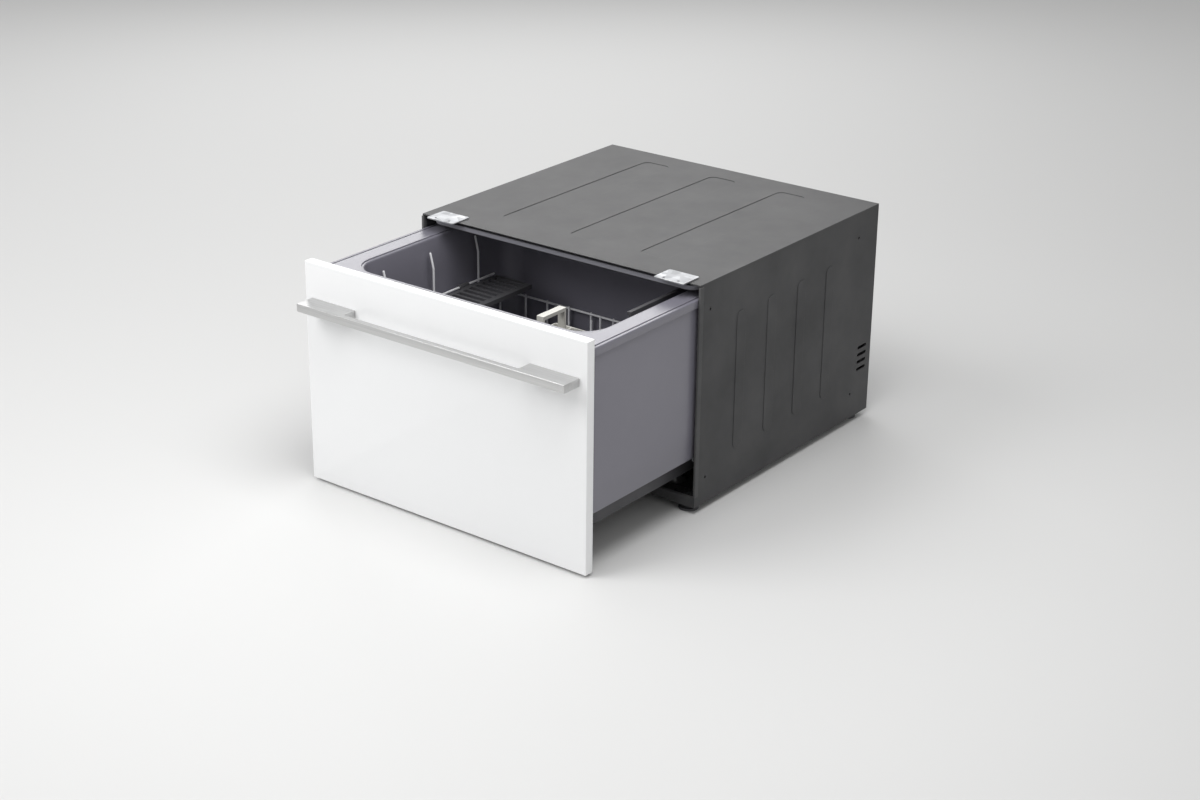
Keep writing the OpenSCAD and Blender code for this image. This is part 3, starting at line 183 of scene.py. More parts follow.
def together(*shells):
    """One shell of several: their points in turn, and their faces renumbered to match."""
    points, faces, first = [], [], 0
    for p, f in shells:
        points.append(p)
        faces += [[first + k for k in face] for face in f]
        first += len(p)
    return np.concatenate(points), faces


def rounded_outline(corners, radii, steps=6):
    """Outline with round corners, and its outward normals. Corner p gives way to an arc whose centre is
    p - s r (a + b) / (1 + a.b), where a and b are the normals of its two sides, r is its radius and s is 1
    at an outer corner and -1 at an inner one; the normal turns evenly from a to b along the arc."""
    p = np.asarray(corners, float)
    edge = np.roll(p, -1, 0) - p
    b = np.stack([edge[:, 1], -edge[:, 0]], -1) / np.linalg.norm(edge, axis=1)[:, None]
    a = np.roll(b, 1, 0)
    turn = np.arctan2(a[:, 0] * b[:, 1] - a[:, 1] * b[:, 0], (a * b).sum(1))
    reach = np.sign(turn) * np.broadcast_to(radii, len(p))
    angle = np.arctan2(a[:, 1], a[:, 0])[:, None] + turn[:, None] * np.linspace(0, 1, steps + 1)
    normal = np.stack([np.cos(angle), np.sin(angle)], -1)
    centre = p - reach[:, None] * (a + b) / (1 + (a * b).sum(1))[:, None]
    points = centre[:, None] + reach[:, None, None] * normal
    return points.reshape(-1, 2), normal.reshape(-1, 2)


def soft_prism(outline, low, high, arris, axis="z", steps=4):
    """Prism with softened edges. The outline's points less i times its normals, at height h: over a quarter
    turn t at either end, i is arris (1 - sin t) and h moves in by arris (1 - cos t)."""
    points, normal = outline
    t = np.linspace(0, math.pi / 2, steps + 1)
    inset = arris * (1 - np.sin(t))
    rise = arris * (1 - np.cos(t))
    inset = np.concatenate([inset, inset[::-1]])
    height = np.concatenate([low + rise, (high - rise)[::-1]])
    flat = points[None] - inset[:, None, None] * normal[None]
    up = np.broadcast_to(height[:, None, None], flat.shape[:2] + (1,))
    solid = np.concatenate([flat, up], -1).reshape(-1, 3)
    order = {"z": (0, 1, 2), "x": (2, 0, 1), "y": (1, 2, 0)}[axis]
    return solid[:, order], ring_faces(len(inset), len(points))


def turned(profile, centre=(0, 0, 0), steps=48, closed=False):
    """Surface of revolution: (r cos a, r sin a, z) about the centre for each (r, z) of a profile that runs
    out, up and in again. A closed profile makes a ring, and an open one is capped at both ends."""
    profile = np.asarray(profile, float)
    a = np.linspace(0, 2 * math.pi, steps, endpoint=False)
    r, z = profile[:, :1], profile[:, 1:]
    points = np.stack([r * np.cos(a), r * np.sin(a), z + 0 * a], -1).reshape(-1, 3)
    return points + np.asarray(centre, float), ring_faces(len(profile), steps, closed)


def round_profile(corners, radii, steps=4):
    """Closed profile with round corners, for turning or for carrying along a path."""
    return rounded_outline(corners, radii, steps)[0]


def bent(points, radius, steps=8):
    """Open path with its inner corners bent: corner p between directions d and e, an angle w apart, gives
    way to the arc c + r (cos f u + sin f d), f from 0 to w, that touches both legs r tan(w / 2) from p."""
    p = np.asarray(points, float)
    leg = np.diff(p, axis=0)
    leg /= np.linalg.norm(leg, axis=1)[:, None]
    d, e, corner = leg[:-1], leg[1:], p[1:-1]
    w = np.arccos(np.clip((d * e).sum(1), -1, 1))[:, None]
    start = corner - radius * np.tan(w / 2) * d
    centre = corner + (e - d) / np.linalg.norm(e - d, axis=1)[:, None] * radius / np.cos(w / 2)
    u = (start - centre) / radius
    f = w[..., None] * np.linspace(0, 1, steps + 1)[None, :, None]
    arcs = centre[:, None] + radius * (np.cos(f) * u[:, None] + np.sin(f) * d[:, None])
    return np.concatenate([p[:1], arcs.reshape(-1, 3), p[-1:]])


def tube(path, radius, side, closed=False, sides=12):
    """Wire along a flat path: at each point p the circle p + k r (cos a n + sin a side), where side stands
    on the path's plane and n is side x tangent. Open ends are half balls: over a quarter turn, k is cos t
    and p moves out by r sin t."""
    path = np.array(path, float)
    if closed:
        tangent = np.roll(path, -1, 0) - np.roll(path, 1, 0)
    else:
        tangent = np.gradient(path, axis=0)
    tangent /= np.linalg.norm(tangent, axis=1)[:, None]
    scale = np.ones(len(path))
    if not closed:
        t = np.radians([86, 62, 34, 12])
        path[0] += radius * tangent[0]
        path[-1] -= radius * tangent[-1]
        out = (radius * np.sin(t))[:, None]
        path = np.concatenate([path[0] - out * tangent[0], path, path[-1] + out[::-1] * tangent[-1]])
        scale = np.concatenate([np.cos(t), scale, np.cos(t)[::-1]])
        tangent = np.concatenate([np.repeat(tangent[:1], 4, 0), tangent, np.repeat(tangent[-1:], 4, 0)])
    side = np.broadcast_to(np.asarray(side, float), tangent.shape)
    n = np.cross(side, tangent)
    a = np.linspace(0, 2 * math.pi, sides, endpoint=False)[None, :, None]
    ring = np.cos(a) * n[:, None] + np.sin(a) * side[:, None]
    points = (path[:, None] + radius * scale[:, None, None] * ring).reshape(-1, 3)
    return points, ring_faces(len(path), sides, closed)


def moved(shell, x=0.0, y=0.0, z=0.0):
    """The shell, carried by (x, y, z)."""
    return shell[0] + np.array([x, y, z], float), shell[1]


def mirrored(shell):
    """The shell on the other side of the middle, with its faces turned back outwards."""
    return shell[0] * [-1, 1, 1], [face[::-1] for face in shell[1]]


def piece(name, shell, body, stands_for, slot, sharp=32.0):
    """Puts a shell into the scene as one smooth piece that rides on a body and stands for CAD nodes."""
    points, faces = shell
    if not len(faces) or not np.isfinite(points).all():
        raise RuntimeError(name + " has no good surface")
    mesh = bpy.data.meshes.new(name)
    mesh.from_pydata((points * MM).tolist(), [], faces)
    mesh.polygons.foreach_set("use_smooth", np.ones(len(mesh.polygons), bool))
    mesh.set_sharp_from_angle(angle=math.radians(sharp))
    mesh.update()
    made = bpy.data.objects.new(name, mesh)
    bpy.context.scene.collection.objects.link(made)
    mesh.materials.append(finish(slot))
    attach(made, body)
    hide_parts(*stands_for)
    return made


def wire_piece(name, wires, body, node):
    """Coated wires, placed from the front edge of the tub, as one piece."""
    return piece(name, moved(together(*wires), y=DRAWER_Y), body, [node], "wire_coat", 60)


# ---- the tub ----

FIXED_X = (-150.0, -50.0, 50.0, 150.0)  # columns on the front and back sides, kept straight for the window
NEAR_CORNER = 0.9309  # share of the half side at which the columns next to the corners stand
COLUMNS_Y = (0.0, 0.2, 0.4, 0.6, 0.8, 0.9622)  # shares of the left and right sides
ARC = 8  # columns on each corner


def tub_ring(half, y0, y1, r, z):
    """One ring of the tub: a rounded rectangle from -half to half and y0 to y1 at height z, from the front
    left counter-clockwise. Its columns keep their places on every ring: some at fixed X, for the window of
    the control strip, the others at fixed shares of each side."""
    a, b0, b1 = half - r, y0 + r, y1 - r
    xs = np.array([-a, -a * NEAR_CORNER, *FIXED_X, a * NEAR_CORNER])
    ys = b0 + (b1 - b0) * np.array(COLUMNS_Y)
    turn = np.linspace(0, math.pi / 2, ARC, endpoint=False)
    parts = [
        np.stack([xs, np.full_like(xs, y0)], -1),
        np.stack([a + r * np.sin(turn), b0 - r * np.cos(turn)], -1),
        np.stack([np.full_like(ys, half), ys], -1),
        np.stack([a + r * np.cos(turn), b1 + r * np.sin(turn)], -1),
        np.stack([-xs, np.full_like(xs, y1)], -1),
        np.stack([-a - r * np.sin(turn), b1 + r * np.cos(turn)], -1),
        np.stack([np.full_like(ys, -half), b0 + b1 - ys], -1),
        np.stack([-a - r * np.cos(turn), b0 - r * np.sin(turn)], -1),
    ]
    ring = np.concatenate(parts)
    return np.concatenate([ring, np.full((len(ring), 1), float(z))], -1)


def sump_ring(radius, z, like):
    """A round ring with one point at the bearing of each point of another ring."""
    bearing = np.arctan2(like[:, 1] - MID_Y, like[:, 0])
    return np.stack(
        [radius * np.cos(bearing), MID_Y + radius * np.sin(bearing), np.full_like(bearing, z)], -1
    )


def tub_shell(mouth):
    """The tub's moulding: one closed profile carried round the rim, up the skirt, over the lip, across the
    rim with its fine groove, down the basin wall, over the floor into the sump, and back along the under
    side 3 mm below. Window and back corners are cells left out, with walls between the two skins."""
    rings = []

    def opening(half, y0, y1, r, grow, z):
        """A ring that stands a distance outside the given rounded rectangle."""
        rings.append(tub_ring(half + grow, y0 - grow, y1 + grow, r + grow, z))

    def basin(grow, z):
        """The basin's wall: it draws in by the draft, and its corners by one and a half times that."""
        share = (RIM_Z - z) / 223
        drawn = DRAFT * share
        opening(MOUTH_X - drawn, MOUTH_Y[0] + drawn, MOUTH_Y[1] - drawn, MOUTH_R - 15 * share, grow, z)

    def skirt(d, z, r):
        """The outside: a ring that lies a distance inside the lip."""
        rings.append(tub_ring(LIP_X - d, d, LIP_Y - d, r, z))

    def window(z):
        """The two rings between which the cells of the control strip's window lie."""
        return [tub_ring(284, 10, 490, 9, z), tub_ring(262, 36, 468, 34, z)]

    top = RIM_Z - 4
    skirt(5.2, SKIRT_Z, 6.8)
    skirt(4.3, SKIRT_Z + 0.3, 7.7)
    skirt(4, SKIRT_Z + 1, 8)
    cut_out = len(rings)
    skirt(4, NOTCH_Z, 8)
    skirt(4, RIM_Z - 14.6, 8)
    skirt(3.4, RIM_Z - 14, 8.4)
    skirt(1, RIM_Z - 14, 9.4)
    skirt(0.3, RIM_Z - 13.7, 9.8)
    skirt(0, RIM_Z - 13, 10)
    skirt(0, RIM_Z - 1.6, 10)
    for t in np.radians([30, 60]):
        skirt(1.6 * (1 - math.cos(t)), RIM_Z - 1.6 + 1.6 * math.sin(t), 10)
    skirt(1.6, RIM_Z, 9.5)
    for d, drop in ((5.8, 0), (6, 0.2), (6.1, RIM_CUT), (8.4, RIM_CUT), (8.5, 0.2), (8.8, 0)):
        skirt(d, RIM_Z - drop, max(9.5 - d * 0.2, 6))
    window_top = len(rings)
    rings += window(RIM_Z)
    for grow, drop in ((5.6, 0), (5.1, 0.15), (5, 0.6), (4.8, RIM_CUT)):
        opening(MOUTH_X, *MOUTH_Y, MOUTH_R, grow, RIM_Z - drop)
    for t in np.radians([0, 30, 60]):
        grow = mouth * (1 - math.sin(t))
        opening(MOUTH_X, *MOUTH_Y, MOUTH_R, grow, RIM_Z - RIM_CUT - mouth * (1 - math.cos(t)))
    for z in (RIM_Z - RIM_CUT - mouth, RIM_Z - 60, RIM_Z - 120, FLOOR_Z + FLOOR_R):
        basin(0, z)
    for t in np.radians([15, 30, 45, 60, 75]):
        pull = FLOOR_R * (1 - math.cos(t))
        opening(240, 56, 448, 30, -pull, FLOOR_Z + FLOOR_R * (1 - math.sin(t)))
    rings.append(tub_ring(212, 84, 420, 2, FLOOR_Z))
    like = rings[-1]
    # down into the sump with its ledge for the filter plate, through the motor's hole and back underneath
    for r, z in ((97, FLOOR_Z), (96.2, FLOOR_Z - 0.4), (96, FLOOR_Z - 1), (96, FLOOR_Z - 3),
                 (90.8, FLOOR_Z - 3), (90, FLOOR_Z - 4), (90, SUMP_Z + 5), (88.5, SUMP_Z + 1.5),
                 (85, SUMP_Z), (10, SUMP_Z + 0.6), (4.06, SUMP_Z + 0.6), (4.06, SUMP_Z - 3),
                 (90, SUMP_Z - 3), (92, SUMP_Z - 2), (93, SUMP_Z), (93, FLOOR_Z - 6), (99, FLOOR_Z - 6),
                 (99, FLOOR_Z - 3)):
        rings.append(sump_ring(r, z, like))
    rings.append(tub_ring(212, 84, 420, 4, FLOOR_Z - WALL))
    outer = FLOOR_R + WALL
    for t in np.radians([60, 30]):
        pull = outer * (1 - math.cos(t))
        opening(243, 53, 451, 33, -pull, FLOOR_Z + FLOOR_R - outer * math.sin(t))
    basin(WALL, FLOOR_Z + FLOOR_R)
    basin(WALL, top)
    window_low = len(rings)
    rings += window(top)[::-1]
    skirt(7, top, 5)
    cut_in = len(rings)
    skirt(7, NOTCH_Z, 5)
    skirt(7, SKIRT_Z + 1, 5)
    skirt(6.2, SKIRT_Z, 5.8)

    rows, cols = len(rings), len(rings[0])
    points = np.concatenate(rings)
    quads = grid_quads(rows, cols, True, True)
    keep = np.ones((rows, cols), bool)
    w0, w1 = 2, 5  # the first and the last of the columns at fixed X on the front side
    keep[[window_top, window_low], w0:w1] = False
    front = len(FIXED_X) + 3  # columns on the front side, and as many on the back
    back = front + ARC + len(COLUMNS_Y) + ARC  # the column at which the back side starts
    spans = [(back - ARC - 1, back + 1), (back + front - 1, back + front + ARC + 1)]
    below = list(range(cut_in, rows)) + list(range(0, cut_out))
    for c0, c1 in spans:
        keep[np.ix_(below, range(c0, c1))] = False
    faces = quads[keep].tolist()

    def at(row, col):
        return row * cols + col % cols

    near, far, far_low, near_low = window_top, window_top + 1, window_low, window_low + 1
    for c in range(w0, w1):
        faces.append([at(near, c), at(near_low, c), at(near_low, c + 1), at(near, c + 1)])
        faces.append([at(far, c + 1), at(far_low, c + 1), at(far_low, c), at(far, c)])
    faces.append([at(row, w0) for row in (far, far_low, near_low, near)])
    faces.append([at(row, w1) for row in (near, near_low, far_low, far)])
    for c0, c1 in spans:
        for c in range(c0, c1):
            faces.append([at(cut_out, c + 1), at(cut_in, c + 1), at(cut_in, c), at(cut_out, c)])
        edge = [cut_in, *below[1:], cut_out]
        faces.append([at(row, c0) for row in edge])
        faces.append([at(row, c1) for row in edge][::-1])
    return points, faces


def rack_posts():
    """The four posts that the rack stands on, turned with a soft shoulder and a shallow saddle ring."""
    profile = [(9.5, 0), (9.5, 1), (8.4, 2.4), (8, 5), (7.6, 46.5), (7.2, 47.7), (6.2, 48), (2, 47.6)]
    return [turned(profile, (x, y, FLOOR_Z - 1), 24) for x in (-212, 212) for y in (110, 410)]


def runner_ledges():
    """The ribs and the long ledges under the rim that the runners are screwed to."""
    shells = []
    z0, z1 = SKIRT_Z + 10, SKIRT_Z + 50
    for s in (-1, 1):
        low, high = sorted((s * 258, s * 262))
        ledge = rounded_outline([(30, z0), (470, z0), (470, z1), (30, z1)], 3)
        shells.append(soft_prism(ledge, low, high, 0.6, "x"))
        x0, x1 = sorted((s * 240, s * 261))
        for y in range(44, 460, 82):
            rib = rounded_outline([(x0, y), (x1, y), (x1, y + 3), (x0, y + 3)], 0.5, 2)
            shells.append(soft_prism(rib, z0, z1, 0.4))
    return shells


# ---- effects, each a node group built once ----


class Wiring:
    """Adds shader nodes to one tree and joins their sockets."""

    def __init__(self, tree):
        self.tree = tree

    def put(self, made, key, term):
        """Gives one input of a node its term: a socket or a plain value."""
        if isinstance(term, bpy.types.NodeSocket):
            self.tree.links.new(term, made.inputs[key])
        else:
            made.inputs[key].default_value = term

    def node(self, kind, inputs, **settings):
        """A node of a kind, with its settings and its inputs."""
        made = self.tree.nodes.new(kind)
        for key, value in settings.items():
            setattr(made, key, value)
        for key, term in inputs.items():
            self.put(made, key, term)
        return made

    def sum(self, operation, *terms, clamp=False):
        """The result of one math node."""
        inputs = dict(enumerate(terms))
        return self.node("ShaderNodeMath", inputs, operation=operation, use_clamp=clamp).outputs[0]

    def noise(self, vector, scale, detail=2.0, rough=0.5):
        """The grey value of a noise."""
        inputs = {"Detail": detail, "Roughness": rough, "Vector": vector, "Scale": scale}
        return self.node("ShaderNodeTexNoise", inputs).outputs[0]

    def mix(self, factor, a, b):
        """Colour a towards colour b by a factor."""
        return self.node("ShaderNodeMix", {0: factor, 6: a, 7: b}, data_type="RGBA").outputs[2]

    def shaded(self, given, factor, lift):
        """The given colour, from deep to pale by a factor. Pale goes the share lift as far as deep does."""
        deep = self.mix(given["Shade"], given["Colour"], (0, 0, 0, 1))
        pale = self.mix(self.sum("MULTIPLY", given["Shade"], lift), given["Colour"], (1, 1, 1, 1))
        return self.mix(factor, deep, pale)

    def uneven(self, given, drift):
        """The given roughness, moved by a drift round 0 that is spread as given."""
        return self.sum("MULTIPLY_ADD", drift, given["Spread"], given["Roughness"], clamp=True)

    def close(self, out, **results):
        """Joins each result to the output of its name, and gives back the effect."""
        for label, socket in results.items():
            self.tree.links.new(socket, out.inputs[label])
        return self.tree


SOCKETS = {"Vector": "NodeSocketVector", "Normal": "NodeSocketVector", "Colour": "NodeSocketColor",
           "Worn": "NodeSocketColor"}  # every other input and output is a plain value


def effect(name, outputs=("Colour", "Roughness", "Height"), **inputs):
    """An empty effect, ready to be wired. It takes a vector, and the inputs named here with their defaults.
    It gives its wiring, the sockets that come in and the node that its results go out by."""
    tree = bpy.data.node_groups.new(name, "ShaderNodeTree")
    tree.interface.new_socket("Vector", in_out="INPUT", socket_type=SOCKETS["Vector"])
    for label, default in inputs.items():
        kind = SOCKETS.get(label, "NodeSocketFloat")
        tree.interface.new_socket(label, in_out="INPUT", socket_type=kind).default_value = default
    for label in outputs:
        tree.interface.new_socket(label, in_out="OUTPUT", socket_type=SOCKETS.get(label, "NodeSocketFloat"))
    wiring = Wiring(tree)
    return wiring, wiring.node("NodeGroupInput", {}).outputs, wiring.node("NodeGroupOutput", {})


def moulded_grain():
    """Spark-eroded plastic: cloudy shade from a slow noise, and a fine pebble height from a quick one."""
    w, given, out = effect("Moulded grain", Colour=(0.5, 0.5, 0.5, 1), Shade=0.08, Pebble=900.0,
                           Roughness=0.45, Spread=0.12)
    cloud = w.noise(given["Vector"], 7.0, 4.0, 0.6)
    flow = w.noise(given["Vector"], 31.0, 2.0)
    pebble = w.noise(given["Vector"], given["Pebble"], 3.0, 0.6)
    drift = w.sum("ADD", w.sum("SUBTRACT", cloud, 0.5), w.sum("MULTIPLY", w.sum("SUBTRACT", flow, 0.5), 0.6))
    return w.close(out, Colour=w.shaded(given, cloud, 0.5), Roughness=w.uneven(given, drift), Height=pebble)


def brushed_grain():
    """Brushed steel: noise drawn out along X by the material's mapping gives lines of shade and height."""
    w, given, out = effect("Brushed grain", Colour=(0.6, 0.6, 0.6, 1), Shade=0.2, Roughness=0.3, Spread=0.2)
    lines = w.noise(given["Vector"], 260.0, 6.0, 0.75)
    broad = w.noise(given["Vector"], 23.0, 2.0)
    both = w.sum("MULTIPLY_ADD", broad, 0.35, w.sum("MULTIPLY", lines, 0.65))
    rough = w.uneven(given, w.sum("SUBTRACT", both, 0.5))
    return w.close(out, Colour=w.shaded(given, both, 0.6), Roughness=rough, Height=lines)


def zinc_spangle():
    """Galvanised steel: crystals from Voronoi cells bent by noise, each with its own shade and gloss."""
    w, given, out = effect("Zinc spangle", Colour=(0.5, 0.5, 0.5, 1), Shade=0.25, Crystal=85.0,
                           Roughness=0.4, Spread=0.25)
    wander = w.node("ShaderNodeTexNoise", {"Scale": 30.0, "Detail": 2.0, "Vector": given["Vector"]})
    bend = w.node("ShaderNodeVectorMath", {0: wander.outputs["Color"], 1: (0.012, 0.012, 0.012)},
                  operation="MULTIPLY")
    place = w.node("ShaderNodeVectorMath", {0: given["Vector"], 1: bend.outputs[0]}, operation="ADD")
    cells = w.node("ShaderNodeTexVoronoi", {"Vector": place.outputs[0], "Scale": given["Crystal"]})
    apart = w.node("ShaderNodeSeparateColor", {"Color": cells.outputs["Color"]})
    tone = apart.outputs[0]
    rough = w.uneven(given, w.sum("SUBTRACT", apart.outputs[1], 0.5))
    height = w.sum("MULTIPLY_ADD", w.noise(given["Vector"], 700.0, 2.0), 0.3, tone)
    return w.close(out, Colour=w.shaded(given, tone, 0.4), Roughness=rough, Height=height)


def lacquer_skin():
    """Sprayed lacquer: a slow, shallow swell like orange peel, and the faintest shift of tone."""
    w, given, out = effect("Lacquer skin", Colour=(0.9, 0.9, 0.9, 1), Shade=0.02, Peel=190.0,
                           Roughness=0.3, Spread=0.06)
    cloud = w.noise(given["Vector"], 3.0, 3.0)
    peel = w.noise(given["Vector"], given["Peel"], 1.0, 0.3)
    colour = w.mix(cloud, given["Colour"], w.mix(given["Shade"], given["Colour"], (0, 0, 0, 1)))
    rough = w.uneven(given, w.sum("SUBTRACT", cloud, 0.5))
    return w.close(out, Colour=colour, Roughness=rough, Height=peel)


def circuit_tracks():
    """Solder mask over copper tracks: rings at even steps from the middle of each square Voronoi cell, and a
    bare pad in that middle."""
    w, given, out = effect("Circuit tracks", Colour=(0.05, 0.25, 0.1, 1), Shade=0.35, Roughness=0.35,
                           Spread=0.2)
    cells = w.node("ShaderNodeTexVoronoi", {"Scale": 260.0, "Vector": given["Vector"]},
                   distance="MANHATTAN", feature="F1")
    tracks = w.sum("LESS_THAN", w.sum("PINGPONG", w.sum("MULTIPLY", cells.outputs[0], 3.0), 0.5), 0.17)
    pads = w.sum("LESS_THAN", cells.outputs[0], 0.12)
    pale = w.mix(given["Shade"], given["Colour"], (0.6, 0.75, 0.3, 1))
    colour = w.mix(pads, w.mix(tracks, given["Colour"], pale), (0.6, 0.6, 0.55, 1))
    rough = w.uneven(given, w.sum("SUBTRACT", 0.5, pads))
    return w.close(out, Colour=colour, Roughness=rough, Height=w.sum("ADD", tracks, pads))


def wound_wire():
    """Enamelled winding: fine even bands, each a turn of wire, with a slow drift of shade."""
    w, given, out = effect("Wound wire", Colour=(0.5, 0.2, 0.08, 1), Shade=0.4, Roughness=0.3, Spread=0.15)
    bands = w.node("ShaderNodeTexWave", {"Scale": 330.0, "Distortion": 0.6, "Detail": 1.0,
                                         "Vector": given["Vector"]}, bands_direction="Z")
    drift = w.noise(given["Vector"], 60.0, 2.0)
    deep = w.mix(given["Shade"], given["Colour"], (0, 0, 0, 1))
    colour = w.mix(w.sum("MULTIPLY", bands.outputs[1], drift), deep, given["Colour"])
    rough = w.uneven(given, w.sum("SUBTRACT", drift, 0.5))
    return w.close(out, Colour=colour, Roughness=rough, Height=bands.outputs[1])


def soft_edges():
    """Arrises as they leave the mould or the press: the normal is rounded off within the radius, and where
    it departs from the face's own normal the edge is painted paler, as wear, and on the handle as a painted
    highlight along its arrises. Dust settles on faces that look up."""
    w, given, out = effect("Soft edges", ("Colour", "Roughness", "Normal"), Colour=(0.5, 0.5, 0.5, 1),
                           Roughness=0.4, Radius=0.0008, Worn=(0.7, 0.7, 0.7, 1), Wear=0.3, Dust=0.05)
    bevel = w.node("ShaderNodeBevel", {"Radius": given["Radius"]}, samples=4)
    shape = w.node("ShaderNodeNewGeometry", {}).outputs
    dot = w.node("ShaderNodeVectorMath", {0: bevel.outputs[0], 1: shape["Normal"]},
                 operation="DOT_PRODUCT")
    apart = w.sum("MULTIPLY", w.sum("SUBTRACT", 1.0, dot.outputs["Value"]), 5.0, clamp=True)
    patchy = w.noise(given["Vector"], 60.0, 4.0, 0.7)
    edge = w.sum("MULTIPLY", apart, w.sum("MULTIPLY_ADD", patchy, 1.6, -0.3, clamp=True))
    # pale edges: wear, and on the handle, whose edge colour is near white, a painted highlight
    worn_and_highlit = w.mix(w.sum("MULTIPLY", edge, given["Wear"]), given["Colour"], given["Worn"])
    up = w.node("ShaderNodeSeparateXYZ", {0: shape["Normal"]}).outputs[2]
    level = w.sum("POWER", w.sum("MAXIMUM", up, 0.0), 3.0)
    lying = w.sum("MULTIPLY", level, w.noise(given["Vector"], 14.0, 4.0))
    dust = w.sum("MULTIPLY", lying, given["Dust"])
    colour = w.mix(dust, worn_and_highlit, (0.55, 0.54, 0.52, 1))
    rough = w.sum("ADD", w.sum("MULTIPLY_ADD", edge, -0.08, given["Roughness"]), dust, clamp=True)
    return w.close(out, Colour=colour, Roughness=rough, Normal=bevel.outputs[0])


EFFECTS = {
    "moulded": moulded_grain,
    "brushed": brushed_grain,
    "spangle": zinc_spangle,
    "lacquer": lacquer_skin,
    "tracks": circuit_tracks,
    "winding": wound_wire,
    "edges": soft_edges,
}

def look(effect_name, colour, bump, edge, scale=(1, 1, 1), shader=None, **values):
    """One finish: its effect, the colour and other values of that, the bump's share and depth in metres, the
    soft edge's radius, its pale edge colour and share (wear, and on the handle a painted highlight) and dust,
    how the pattern is scaled, and the shader's constants."""
    values["Colour"] = colour
    edge = dict(zip(("Radius", "Worn", "Wear", "Dust"), edge))
    return effect_name, values, bump, scale, edge, shader or {}


FINISHES = {
    "front_lacquer": look("lacquer", "lacquer", (0.12, 0.0001), (0.0006, (0.9, 0.9, 0.9), 0.2, 0.0),
        shader={"Coat Weight": 0.25, "Coat Roughness": 0.22}, Roughness=0.34, Spread=0.06),
    # the handle's pale edges, near white at a share of 0.9, are a painted highlight along its arrises, not
    # wear
    "handle_steel": look("brushed", "steel", (0.35, 0.00004), (0.0009, (0.97, 0.97, 0.97), 0.9, 0.0),
        scale=(0.02, 1, 1), shader={"Metallic": 1.0, "Anisotropic": 0.5}, Roughness=0.34, Spread=0.26,
        Shade=0.52),
    "wash_steel": look("brushed", (0.6, 0.6, 0.61), (0.15, 0.00004), (0.0006, (0.8, 0.8, 0.8), 0.3, 0.0),
        scale=(0.2, 1, 1), shader={"Metallic": 1.0}, Roughness=0.26, Spread=0.2, Shade=0.2),
    "zinc_steel": look("spangle", (0.5, 0.51, 0.53), (0.08, 0.00005),
        (0.0004, (0.72, 0.72, 0.73), 0.5, 0.08), shader={"Metallic": 0.85}, Roughness=0.42),
    "black_sheet": look("moulded", (0.016, 0.016, 0.018), (0.1, 0.00006),
        (0.0006, (0.08, 0.08, 0.085), 0.5, 0.05), shader={"Specular IOR Level": 0.35}, Roughness=0.5,
        Spread=0.1, Pebble=1500.0, Shade=0.15),
    "tub_plastic": look("moulded", "tub", (0.1, 0.00008), (0.0008, (0.42, 0.41, 0.44), 0.25, 0.0),
        shader={"Coat Weight": 0.45, "Coat Roughness": 0.24}, Roughness=0.36, Spread=0.1, Pebble=1300.0,
        Shade=0.05),
    "dark_plastic": look("moulded", (0.035, 0.034, 0.04), (0.14, 0.0001),
        (0.0008, (0.12, 0.12, 0.13), 0.35, 0.04), Roughness=0.45, Spread=0.12, Pebble=1100.0, Shade=0.12),
    "pan_plastic": look("moulded", (0.009, 0.0095, 0.012), (0.05, 0.00006),
        (0.0012, (0.05, 0.05, 0.055), 0.3, 0.02), shader={"Coat Weight": 0.4, "Coat Roughness": 0.08},
        Roughness=0.16, Spread=0.12, Pebble=420.0, Shade=0.2),
    "pale_plastic": look("moulded", (0.55, 0.54, 0.5), (0.1, 0.0001), (0.0006, (0.7, 0.7, 0.66), 0.3, 0.04),
        Roughness=0.4, Pebble=1000.0),
    "lid_plastic": look("moulded", (0.24, 0.24, 0.27), (0.12, 0.0001),
        (0.001, (0.4, 0.4, 0.42), 0.25, 0.04), Roughness=0.4, Pebble=1000.0),
    "nylon": look("moulded", (0.66, 0.64, 0.57), (0.06, 0.0001), (0.0004, (0.75, 0.74, 0.68), 0.2, 0.0),
        shader={"Subsurface Weight": 0.15}, Roughness=0.36, Pebble=700.0),
    "wire_coat": look("moulded", "wire", (0.12, 0.00012), (0.0004, (0.75, 0.75, 0.76), 0.1, 0.0),
        Roughness=0.36, Spread=0.14, Pebble=650.0, Shade=0.06),
    "seal_rubber": look("moulded", (0.02, 0.02, 0.021), (0.2, 0.0001),
        (0.0005, (0.08, 0.08, 0.08), 0.3, 0.1), Roughness=0.62, Pebble=900.0, Shade=0.2),
    "fascia_plastic": look("moulded", (0.05, 0.05, 0.056), (0.1, 0.00006),
        (0.0006, (0.16, 0.16, 0.17), 0.3, 0.02), Roughness=0.38, Spread=0.12, Pebble=1600.0),
    "lens_black": look("lacquer", (0.006, 0.007, 0.009), (0.02, 0.00004),
        (0.0004, (0.1, 0.1, 0.1), 0.1, 0.01), shader={"Coat Weight": 0.6, "Coat Roughness": 0.03},
        Roughness=0.08, Spread=0.05),
    "button_plastic": look("brushed", (0.6, 0.61, 0.63), (0.08, 0.00004),
        (0.0006, (0.75, 0.75, 0.76), 0.4, 0.0), scale=(0.3, 1, 1), shader={"Metallic": 0.6}, Roughness=0.3,
        Shade=0.1),
    "board_green": look("tracks", (0.02, 0.12, 0.05), (0.2, 0.00005), (0.0003, (0.3, 0.35, 0.2), 0.3, 0.0)),
    "copper": look("winding", (0.5, 0.2, 0.08), (0.5, 0.0002), (0.0005, (0.8, 0.5, 0.3), 0.3, 0.0),
        shader={"Metallic": 0.8}),
    "red_plastic": look("moulded", (0.35, 0.03, 0.02), (0.1, 0.0001),
        (0.0005, (0.5, 0.15, 0.12), 0.3, 0.02), Roughness=0.38, Pebble=900.0),
}


def as_rgba(value):
    """A colour with its alpha; a name stands for one of the user's colours."""
    if isinstance(value, str):
        value = getattr(bpy.context.scene.drawer_colours, value)
    return (*value, 1.0)


